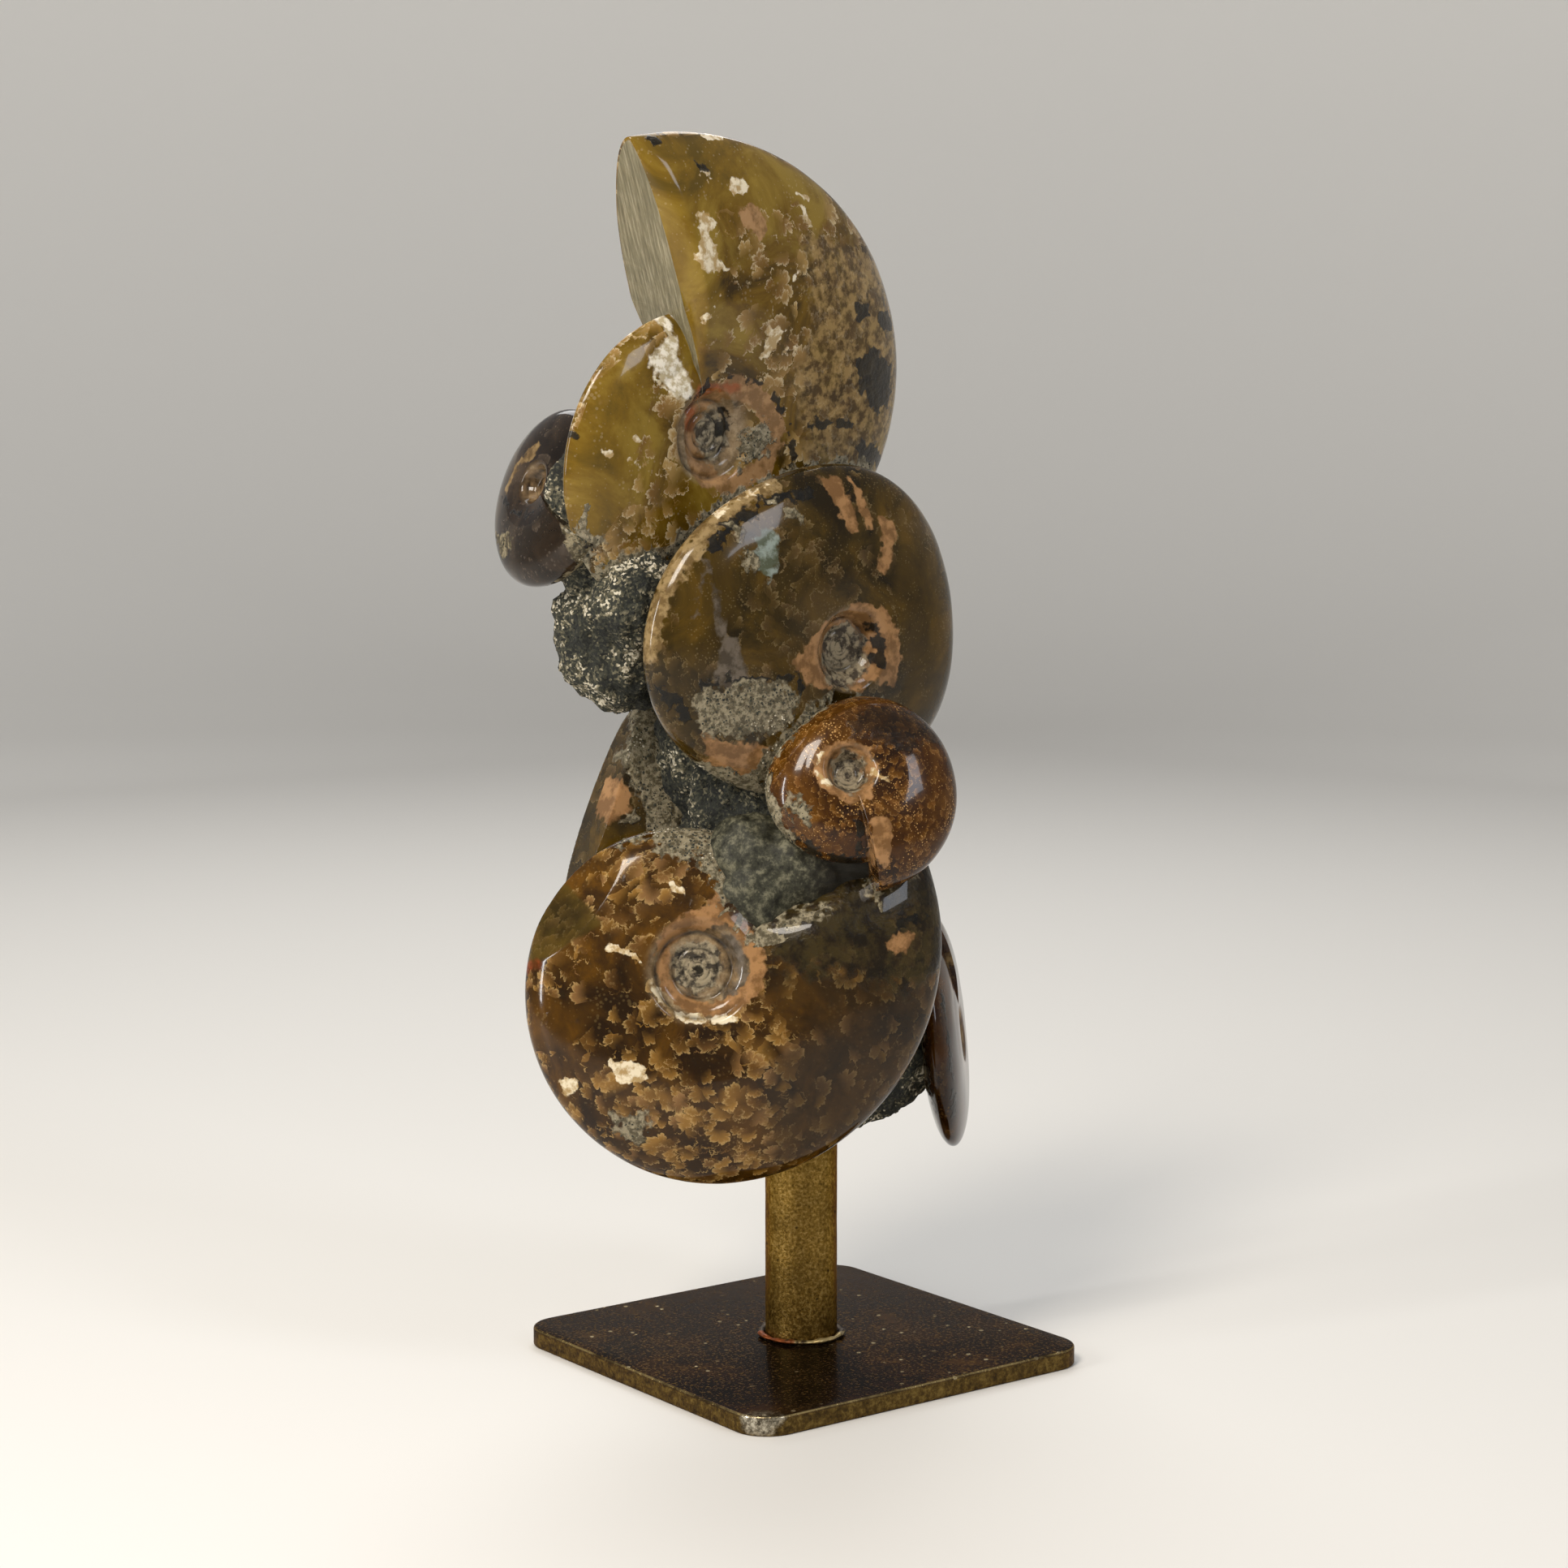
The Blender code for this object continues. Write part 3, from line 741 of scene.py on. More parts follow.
LOWER_MARKS = (
    patch(
        Stain.PINK, 0.3, (6.5, 28.5), (9, 28.5), (8.5, 18.5), (5.5, 15), (7.5, 10.5), (0.5, 10),
        (-0.5, 12.5), (4, 17),
    ),
    streak(
        Stain.PINK, 1.6, (-4, 10.5), (4, 13), (10.5, 9.5), (13.5, 2.5), (13, -3.5), (7.5, -8.5),
        (1.5, -9.5), (-4.5, -7), (-8.5, -1), (-8, 6.5), (-4, 10.5),
    ),
    streak(Stain.MAUVE, 1.6, (6.5, 6.5), (10, 3.5), (11, -3), (7, -7)),
    patch(
        Stain.GREY, 0.5, (-0.5, 6.5), (4, 5), (5.5, 1), (3.5, -3), (-0.5, -5), (-4.5, -3),
        (-6, 1), (-4.5, 5),
    ),
    # Painted shade: a dark dot where the navel's tiny hole is
    streak(Stain.DARK, 0.4, (-0.5, 0.5), (0, 0.5)),
    streak(Stain.CREAM, 0.6, (-11, -2.5), (-9, -7), (-3.5, -11), (3, -12), (8.5, -11)),
    streak(Stain.CREAM, 0.5, (-20.5, 5.5), (-16.5, 4.5), (-13.5, 2)),
    patch(Stain.CRUST, 0, (-20.5, -33.5), (-14, -33), (-12.5, -37), (-16, -39), (-19.5, -37.5)),
    patch(Stain.CREAM, 0.3, (-32.5, -25.5), (-29, -25), (-28.5, -27), (-31, -28.5)),
    patch(Stain.CREAM, 0.3, (-21, -21), (-13, -22), (-12, -25), (-18.5, -26)),
    streak(Stain.CREAM, 0.3, (-6, 20.5), (-4, 18.5)),
    patch(Stain.GREEN, 0.5, (9, 31), (20, 29), (25, 21), (18.5, 14.5), (12.5, 13.5), (9, 20)),
    streak(Stain.CRUST, 0.9, (-17, 30.5), (-11.5, 32), (-3.5, 33), (2, 31), (5.5, 28)),
    patch(
        Stain.CHAMBER, 0.5, (13.5, 15), (24, 27), (42, 36), (60, 38), (60, 0), (49.5, -4.5),
        (35.5, -1.5), (23, 0.5), (16.5, 4.5), (16.5, 9),
    ),
    patch(Stain.PINK, 0.3, (44.5, 5.5), (48, 8), (51, 7.5), (48.5, 4), (45.5, 3.5)),
    streak(Stain.DARK, 0.5, (47.5, 10), (53, 11)),
    streak(Stain.CRUST, 0.8, (13, 7), (17.5, 9.5), (24, 11.5), (31, 14)),
    patch(Stain.CRUST, 0.4, (10.5, 14), (15.5, 13), (16.5, 9.5), (13.5, 10)),
    # Painted glow: warm light showing through the shell's thin left edge
    streak(Stain.ORANGE, 0.8, (-39.5, 1.5), (-37.5, 2)),
    patch(Stain.OLIVE, 1, (-39, 2.5), (-23.5, 11.5), (-31, 20), (-36, 13)),
    patch(
        Stain.CLEAR, 0.8, (-39, -4), (-30.5, -8), (-23, -6.5), (-23, -10), (-30.5, -17.5),
        (-38, -17.5),
    ),
    # Painted shade: a soft dark tint over the lower right, below and right of the navel
    patch(
        Stain.PAINTED_SHADE, 2, (16.5, -1), (35.5, -2.5), (56, -5.5), (52.5, -19), (38, -37.5),
        (18.5, -43), (18, -25.5), (26, -14.5),
    ),
)
LOWER_BACK_MARKS = (
    patch(
        Stain.PINK, 0.4, (-27, 14.5), (-23, 14.5), (-20.5, 11), (-21.5, 7), (-26.5, 4.5),
        (-27, 9),
    ),
    streak(Stain.CRUST, 0.8, (-21.5, 4.5), (-10, 5), (3.5, 5)),
    streak(Stain.CRUST, 0.5, (-20.5, 20.5), (-17.5, 17)),
    streak(Stain.DARK, 0.8, (-10.5, 21), (-6, 19.5)),
    patch(Stain.CLEAR, 0.8, (-17.5, 15.5), (-5.5, 15), (-3, 6), (-16, 6.5)),
)
LEFT_BACK_MARKS = (
    patch(Stain.CRUST, 0.4, (-12.5, -13.5), (-5.5, -12.5), (-2.5, -15.5), (-8.5, -17)),
    streak(Stain.DARK, 0.25, (-13.5, -3.5), (-6, -7), (2.5, -8.5), (8.5, -5.5)),
    streak(Stain.PALE, 1.2, (-11.5, -1.5), (-9, 5), (-3.5, 8.5)),
)
RIGHT_EDGE_MARKS = (
    streak(Stain.DARK, 0.4, (-18.5, 16), (-22, 6.5), (-23, -3.5), (-20, -16)),
    streak(Stain.PALE, 0.8, (5.5, 29.5), (-3.5, 19.5), (-10.5, 10.5)),
)


def coil_tree() -> bpy.types.NodeTree:
    """Geometry nodes for a coiled shell: a log spiral with a domed section.

    A flat grid is rolled up: its columns run round the coil and then across the
    cut mouth, and its rows run from the front's middle over the rim to the back's.

    Returns:
        The tree, with the shell's sizes as named inputs.
    """
    tree = bpy.data.node_groups.new("coiled shell", "GeometryNodeTree")
    numbers = (
        *("Radius", "Growth", "Thickness", "Mouth", "Hand", "Keel", "Crest", "Slope"),
        *("Navel", "Hollow", "Cosine 1", "Sine 1", "Cosine 2", "Sine 2", "Cosine 3"),
        *("Sine 3", "Flat Angle", "Flat Lean", "Flat Reach", "Lip", "Lip Angle"),
        *("Whorl", "Ripple"),
    )
    for name in numbers:
        tree.interface.new_socket(name, in_out="INPUT", socket_type="NodeSocketFloat")
    for name in ("Steps", "Cut Steps", "Rows", "Seed"):
        tree.interface.new_socket(name, in_out="INPUT", socket_type="NodeSocketInt")
    tree.interface.new_socket("Material", in_out="INPUT", socket_type="NodeSocketMaterial")
    tree.interface.new_socket("Mesh", in_out="OUTPUT", socket_type="NodeSocketGeometry")
    n = Wiring(tree)
    given = n.add("NodeGroupInput").node.outputs
    width = n.add(MATH, given["Steps"], given["Cut Steps"], operation="ADD")
    columns = n.add(MATH, width, 1.0, operation="ADD")
    grid = n.add("GeometryNodeMeshGrid", 1.0, 1.0, columns, given["Rows"])
    flat = n.add(SPLIT, n.add("GeometryNodeInputPosition")).node.outputs

    # Round the coil, then across the cut mouth
    column = n.add(MATH, flat["X"], 0.5, operation="ADD")
    column = n.add(MATH, column, width, operation="MULTIPLY")
    round_it = n.add(MATH, column, given["Steps"], operation="DIVIDE")
    round_it = n.add(MATH, round_it, 1.0, operation="MINIMUM")
    back = n.add(MATH, 1.0, round_it, operation="SUBTRACT")
    cut = n.add(MATH, column, given["Steps"], operation="SUBTRACT")
    cut = n.add(MATH, cut, given["Cut Steps"], operation="DIVIDE")
    cut = n.add(MATH, cut, 0.0, operation="MAXIMUM")
    turns = n.add(MATH, back, cut, operation="ADD")
    turned = n.add(MATH, back, math.tau, operation="MULTIPLY")
    turned = n.add(MATH, turned, given["Hand"], operation="MULTIPLY")
    angle = n.add(MATH, given["Mouth"], turned, operation="SUBTRACT")

    # The rim: a log spiral that wear and grinding made uneven
    shrink = n.add(MATH, turns, -1.0, operation="MULTIPLY")
    shrink = n.add(MATH, given["Growth"], shrink, operation="POWER")
    coil = n.add(MATH, given["Radius"], shrink, operation="MULTIPLY")
    uneven: Any = 1.0
    for waves in (1, 2, 3):
        wave = n.add(MATH, angle, float(waves), operation="MULTIPLY")
        for name, form in (("Cosine", "COSINE"), ("Sine", "SINE")):
            swing = n.add(MATH, wave, operation=form)
            share = given[f"{name} {waves}"]
            uneven = n.add(MATH, swing, share, uneven, operation="MULTIPLY_ADD")
    rim = n.add(MATH, coil, uneven, operation="MULTIPLY")
    half_turn = n.add(MATH, given["Growth"], -0.5, operation="POWER")
    middle = n.add(MATH, given["Radius"], half_turn, operation="MULTIPLY")

    # From the middle of the front over the rim to the middle of the back
    row = n.add(MATH, flat["Y"], -2.0, operation="MULTIPLY")
    side = n.add(MATH, row, operation="SIGN")
    share = n.add(MATH, 1.0, n.add(MATH, row, operation="ABSOLUTE"), operation="SUBTRACT")
    share = n.add(MATH, share, 1.35, operation="POWER")
    share = n.add(MATH, share, math.pi / 2, operation="MULTIPLY")
    share = n.add(MATH, share, operation="SINE")
    out = n.add(RANGE, share, given["Navel"], 1.0, 0.0, 1.0)
    inner = n.add(MATH, share, given["Navel"], operation="MINIMUM")
    inner = n.add(MATH, inner, middle, operation="MULTIPLY")
    span = n.add(MATH, given["Navel"], middle, operation="MULTIPLY")
    span = n.add(MATH, rim, span, operation="SUBTRACT")
    away = n.add(MATH, span, out, inner, operation="MULTIPLY_ADD")
    near = n.add(MATH, out, 3.0, operation="MULTIPLY", use_clamp=True)
    scale = n.add(MATH, coil, middle, operation="SUBTRACT")
    scale = n.add(MATH, scale, near, middle, operation="MULTIPLY_ADD")

    # Half thickness: domed to the rim, sloping to a hollow in the middle
    outer = n.add(RANGE, share, given["Crest"], 1.0, 0.0, 1.0)
    outer = n.add(MATH, outer, outer, operation="MULTIPLY")
    dome = n.add(MATH, 1.0, outer, operation="SUBTRACT")
    dome = n.add(MATH, dome, given["Keel"], operation="POWER")
    inward = n.add(RANGE, share, given["Crest"], 0.0, 0.0, 1.0)
    inward = n.add(MATH, inward, 1.5, operation="POWER")
    inward = n.add(MATH, inward, given["Slope"], operation="MULTIPLY")
    inward = n.add(MATH, 1.0, inward, operation="SUBTRACT")
    dome = n.add(MATH, dome, inward, operation="MULTIPLY")
    hole = n.add(MATH, share, given["Navel"], operation="DIVIDE")
    dip = n.add(RANGE, hole, 0.45, 1.0, 1.0, 0.0, interpolation_type="SMOOTHSTEP")
    dip = n.add(MATH, dip, given["Hollow"], operation="MULTIPLY")
    dip = n.add(MATH, 1.0, dip, operation="SUBTRACT")
    dome = n.add(MATH, dome, dip, operation="MULTIPLY")
    high = n.add(MATH, scale, given["Thickness"], operation="MULTIPLY")
    high = n.add(MATH, high, dome, operation="MULTIPLY")

    # The front edge of the mouth is rounded over
    lip = n.add(MATH, turned, given["Hand"], operation="MULTIPLY")
    lip = n.add(MATH, lip, given["Lip Angle"], operation="DIVIDE", use_clamp=True)
    lip = n.add(MATH, 1.0, lip, operation="SUBTRACT")
    lip = n.add(MATH, lip, 2.4, operation="POWER")
    fade = n.add(MATH, 1.0, cut, operation="SUBTRACT")
    lip = n.add(MATH, lip, fade, operation="MULTIPLY")
    lip = n.add(MATH, lip, given["Lip"], operation="MULTIPLY")
    lip = n.add(MATH, lip, near, operation="MULTIPLY")
    front = n.add(MATH, side, 0.0, operation="MAXIMUM")
    lip = n.add(MATH, lip, front, operation="MULTIPLY")
    lip = n.add(MATH, 1.0, lip, operation="SUBTRACT")
    high = n.add(MATH, high, lip, operation="MULTIPLY")

    # Inner whorls: grooves on a tighter spiral in the hollow middle
    ring = n.add(MATH, hole, 0.02, operation="MAXIMUM")
    ring = n.add(MATH, ring, 1.7, operation="LOGARITHM")
    sweep = n.add(MATH, angle, given["Hand"], operation="MULTIPLY")
    sweep = n.add(MATH, sweep, math.tau, operation="DIVIDE")
    ring = n.add(MATH, ring, sweep, operation="SUBTRACT")
    ring = n.add(MATH, ring, math.pi, operation="MULTIPLY")
    ring = n.add(MATH, n.add(MATH, ring, operation="SINE"), operation="ABSOLUTE")
    groove = n.add(MATH, ring, 0.55, operation="POWER")
    groove = n.add(MATH, groove, 1.0, operation="SUBTRACT")
    edge = n.add(RANGE, hole, 0.80, 1.05, 1.0, 0.0, interpolation_type="SMOOTHSTEP")
    groove = n.add(MATH, groove, edge, operation="MULTIPLY")
    drawn = n.add(MATH, groove, -1.0, operation="MULTIPLY")
    groove = n.add(MATH, groove, hole, operation="MULTIPLY")
    high = n.add(MATH, groove, given["Whorl"], high, operation="MULTIPLY_ADD")
    high = n.add(MATH, high, side, operation="MULTIPLY")

    # A flat ground on the rim
    face = n.add(MATH, angle, given["Flat Angle"], operation="SUBTRACT")
    face = n.add(MATH, face, operation="COSINE")
    lean = n.add(MATH, given["Flat Lean"], operation="COSINE")
    face = n.add(MATH, face, lean, operation="MULTIPLY")
    face = n.add(MATH, face, 0.001, operation="MAXIMUM")
    lean = n.add(MATH, given["Flat Lean"], operation="SINE")
    allowed = n.add(MATH, high, lean, operation="MULTIPLY")
    allowed = n.add(MATH, given["Flat Reach"], allowed, operation="SUBTRACT")
    allowed = n.add(MATH, allowed, face, operation="DIVIDE")
    away = n.add(MATH, away, allowed, operation="MINIMUM")

    across = n.add(MATH, away, n.add(MATH, angle, operation="COSINE"), operation="MULTIPLY")
    up = n.add(MATH, away, n.add(MATH, angle, operation="SINE"), operation="MULTIPLY")
    deep = n.add(MATH, high, -1.0, operation="MULTIPLY")
    place = n.add(JOIN, across, deep, up)

    # Coordinates that follow the coil, for the leaves
    along = n.add(MATH, angle, middle, operation="MULTIPLY")
    outward = n.add(MATH, away, 0.001, operation="MAXIMUM")
    outward = n.add(MATH, outward, middle, operation="DIVIDE")
    outward = n.add(MATH, outward, math.e, operation="LOGARITHM")
    outward = n.add(MATH, outward, middle, operation="MULTIPLY")
    follow = n.add(JOIN, along, outward, high)
    mesh = n.add(
        STORE,
        *(grid, None, "coil", follow),
        data_type="FLOAT_VECTOR",
        domain="POINT",
    )
    # Flat coordinates that go on over the rim without stretching
    rest = n.add(MATH, scale, given["Thickness"], operation="MULTIPLY")
    rest = n.add(MATH, rest, n.add(MATH, high, operation="ABSOLUTE"), operation="SUBTRACT")
    past = n.add(RANGE, share, given["Crest"], 1.0, 0.0, 1.0)
    rolled = n.add(MATH, rest, past, away, operation="MULTIPLY_ADD")
    flat_x = n.add(MATH, rolled, n.add(MATH, angle, operation="COSINE"), operation="MULTIPLY")
    flat_y = n.add(MATH, rolled, n.add(MATH, angle, operation="SINE"), operation="MULTIPLY")
    rolled = n.add(JOIN, flat_x, flat_y, 0.0)
    mesh = n.add(
        STORE,
        *(mesh, None, "flat", rolled),
        data_type="FLOAT_VECTOR",
        domain="POINT",
    )
    mouth = n.add(MATH, cut, 0.0, operation="GREATER_THAN")
    for name, value in (("mouth", mouth), ("groove", drawn), ("inner", edge)):
        mesh = n.add(
            STORE,
            *(mesh, None, name, value),
            data_type="FLOAT",
            domain="POINT",
        )
    mesh = n.add("GeometryNodeSetPosition", mesh, inputs={"Position": place})
    mesh = n.add("GeometryNodeMergeByDistance", mesh, inputs={"Distance": 0.02 * MM})

    # Hand polishing leaves slight waves, about 14 mm long
    there = n.add("GeometryNodeInputPosition")
    wave = n.add(NOISE, there, given["Seed"], 70.0, 1.0, noise_dimensions="4D")
    wave = n.add(MATH, wave, 0.5, operation="SUBTRACT")
    wave = n.add(MATH, wave, given["Ripple"], operation="MULTIPLY")
    push = n.add(VECTOR, n.add("GeometryNodeInputNormal"), operation="SCALE")
    tree.links.new(wave, push.node.inputs["Scale"])
    mesh = n.add("GeometryNodeSetPosition", mesh, inputs={"Offset": push})
    mesh = n.add("GeometryNodeSetShadeSmooth", mesh)
    mesh = n.add("GeometryNodeRealizeInstances", mesh)
    mesh = n.add("GeometryNodeSetMaterial", mesh, inputs={"Material": given["Material"]})
    n.add("NodeGroupOutput", mesh)
    return tree


def sand_tree() -> bpy.types.NodeTree:
    """Geometry nodes that strew small angular grains over a surface.

    Returns:
        The tree. It keeps only the grains.
    """
    tree = bpy.data.node_groups.new("strewn grains", "GeometryNodeTree")
    tree.interface.new_socket("Mesh", in_out="INPUT", socket_type="NodeSocketGeometry")
    for name in ("Density", "Smallest", "Largest", "Darkest", "Brightest"):
        tree.interface.new_socket(name, in_out="INPUT", socket_type="NodeSocketFloat")
    tree.interface.new_socket("Seed", in_out="INPUT", socket_type="NodeSocketInt")
    tree.interface.new_socket("Material", in_out="INPUT", socket_type="NodeSocketMaterial")
    tree.interface.new_socket("Grains", in_out="OUTPUT", socket_type="NodeSocketGeometry")
    n = Wiring(tree)
    given = n.add("NodeGroupInput").node.outputs
    bare = n.add("GeometryNodeInputNamedAttribute", "bare", data_type="FLOAT")
    density = n.add(MATH, bare, given["Density"], operation="MULTIPLY")
    points = n.add(
        "GeometryNodeDistributePointsOnFaces",
        given["Mesh"],
        inputs={"Density": density, "Seed": given["Seed"]},
    )
    turn = points.node.outputs["Rotation"]
    grain = n.add("GeometryNodeMeshIcoSphere", 1.0, 1)
    size = n.add(
        CHANCE,
        *(given["Smallest"], given["Largest"]),
        data_type="FLOAT",
        inputs={"Seed": 3},
    )
    flatten = n.add(
        CHANCE,
        *((0.7, 0.7, 0.35), (1.3, 1.3, 0.8)),
        data_type="FLOAT_VECTOR",
        inputs={"Seed": 4},
    )
    flatten = n.add(VECTOR, flatten, operation="SCALE")
    tree.links.new(size, flatten.node.inputs["Scale"])
    spin = n.add(
        CHANCE,
        *((0.0, 0.0, 0.0), (0.5, 0.5, math.tau)),
        data_type="FLOAT_VECTOR",
        inputs={"Seed": 5},
    )
    turn = n.add("FunctionNodeRotateRotation", turn, spin, rotation_space="LOCAL")
    strewn = n.add(
        "GeometryNodeInstanceOnPoints",
        points,
        inputs={"Instance": grain, "Rotation": turn, "Scale": flatten},
    )
    tone = n.add(
        CHANCE,
        *(given["Darkest"], given["Brightest"]),
        data_type="FLOAT",
        inputs={"Seed": 6},
    )
    strewn = n.add(
        STORE,
        *(strewn, None, "tone", tone),
        data_type="FLOAT",
        domain="INSTANCE",
    )
    strewn = n.add("GeometryNodeRealizeInstances", strewn)
    strewn = n.add("GeometryNodeSetMaterial", strewn, inputs={"Material": given["Material"]})
    n.add("NodeGroupOutput", strewn)
    return tree


@dataclass(frozen=True)
class Grains:
    """How grains are strewn.

    Attributes:
        density: Grains to the square metre.
        smallest_mm: Radius of the smallest.
        largest_mm: Radius of the largest.
        darkest: Tone of the darkest, 0 to 1.
        brightest: Tone of the brightest, 0 to 1.
    """

    density: float
    smallest_mm: float
    largest_mm: float
    darkest: float
    brightest: float

    def sizes(self, seed: int, material: bpy.types.Material) -> dict[str, Any]:
        """The inputs of the grains' tree."""
        return {
            "Density": self.density,
            "Smallest": self.smallest_mm * MM,
            "Largest": self.largest_mm * MM,
            "Darkest": self.darkest,
            "Brightest": self.brightest,
            "Seed": seed,
            "Material": material,
        }


ROCK_GRAINS = Grains(260000.0, 0.16, 0.46, 0.0, 1.0)
CRUST_GRAINS = Grains(1000000.0, 0.10, 0.36, 0.38, 0.78)


def grow(
    name: str,
    tree: bpy.types.NodeTree,
    values: dict[str, Any],
    base: bpy.types.Mesh | None = None,
) -> bpy.types.Mesh:
    """Runs a geometry tree once and keeps what it makes as a plain mesh.

    Args:
        name: Name of the new mesh.
        tree: The geometry node tree.
        values: Its inputs by name.
        base: Mesh that the tree starts from, if it needs one.

    Returns:
        The plain mesh.
    """
    host = bpy.data.objects.new(name + "_host", base or bpy.data.meshes.new(name))
    bpy.context.scene.collection.objects.link(host)
    modifier = host.modifiers.new("grow", "NODES")
    modifier.node_group = tree
    for item in tree.interface.items_tree:
        if item.in_out == "INPUT" and item.name in values:
            modifier[item.identifier] = values[item.name]
    graph = bpy.context.evaluated_depsgraph_get()
    mesh = bpy.data.meshes.new_from_object(
        host.evaluated_get(graph), preserve_all_data_layers=True, depsgraph=graph
    )
    mesh.name = name
    bpy.data.objects.remove(host, do_unlink=True)
    return mesh


def settled(name: str, shape: bmesh.types.BMesh) -> bpy.types.Mesh:
    """Turns a bmesh into a new mesh and frees it."""
    mesh = bpy.data.meshes.new(name)
    shape.to_mesh(mesh)
    shape.free()
    return mesh


def smooth(mesh: bpy.types.Mesh) -> None:
    """Shades every face smoothly."""
    for face in mesh.polygons:
        face.use_smooth = True


def place_piece(name: str, mesh: bpy.types.Mesh, slot: str, *nodes: str) -> bpy.types.Object:
    """Links a finished mesh as a piece of the part.

    Args:
        name: Piece name.
        mesh: Its mesh, in the row frame.
        slot: Material slot; not used.
        nodes: CAD nodes that it stands for.

    Returns:
        The piece.
    """
    piece = bpy.data.objects.new(name, mesh)
    bpy.context.scene.collection.objects.link(piece)
    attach(piece, "root")
    if nodes:
        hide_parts(*nodes)
    LOG.info("%s: %d faces", name, len(mesh.polygons))
    return piece


def points_of(mesh: bpy.types.Mesh, what: str = "co") -> np.ndarray:
    """The mesh's points, or their normals, as rows of three numbers."""
    rows = np.zeros(len(mesh.vertices) * 3, np.float32)
    mesh.vertices.foreach_get(what, rows)
    return rows.reshape(-1, 3).astype(float)


def store(mesh: bpy.types.Mesh, name: str, values: np.ndarray) -> None:
    """Stores one number for each point of the mesh.

    Args:
        mesh: The mesh.
        name: Attribute name.
        values: The numbers.
    """
    layer = mesh.attributes.get(name) or mesh.attributes.new(name, "FLOAT", "POINT")
    layer.data.foreach_set("value", values.astype(np.float32))


def solid_tree(names: Sequence[str]) -> BVHTree:
    """A search tree over the frame's solids with these names."""
    points: list[Vector] = []
    faces: list[list[int]] = []
    for name in names:
        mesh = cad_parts[name].data
        start = len(points)
        points += [vertex.co.copy() for vertex in mesh.vertices]
        faces += [[start + index for index in face.vertices] for face in mesh.polygons]
    return BVHTree.FromPolygons(points, faces)


def gap_to(tree: BVHTree, points: np.ndarray, furthest: float) -> np.ndarray:
    """Distance from each point to the solids, below 0 inside them.

    Args:
        tree: Search tree over the solids.
        points: The points.
        furthest: Distance past which nothing is looked for, in metres.

    Returns:
        The distances, none above the furthest.
    """
    found = np.full(len(points), furthest)
    for index, point in enumerate(points):
        spot, normal, _, gap = tree.find_nearest(point, furthest)
        if spot is not None:
            inside = (Vector(point) - spot).dot(normal) < 0.0
            found[index] = -gap if inside else gap
    return found


# Navel stains on a shell's hidden side: how far out and how wide, as shares of it
NAVEL_RINGS = {Stain.PINK: (0.8, 0.22), Stain.GREY: (0.1, 0.4)}


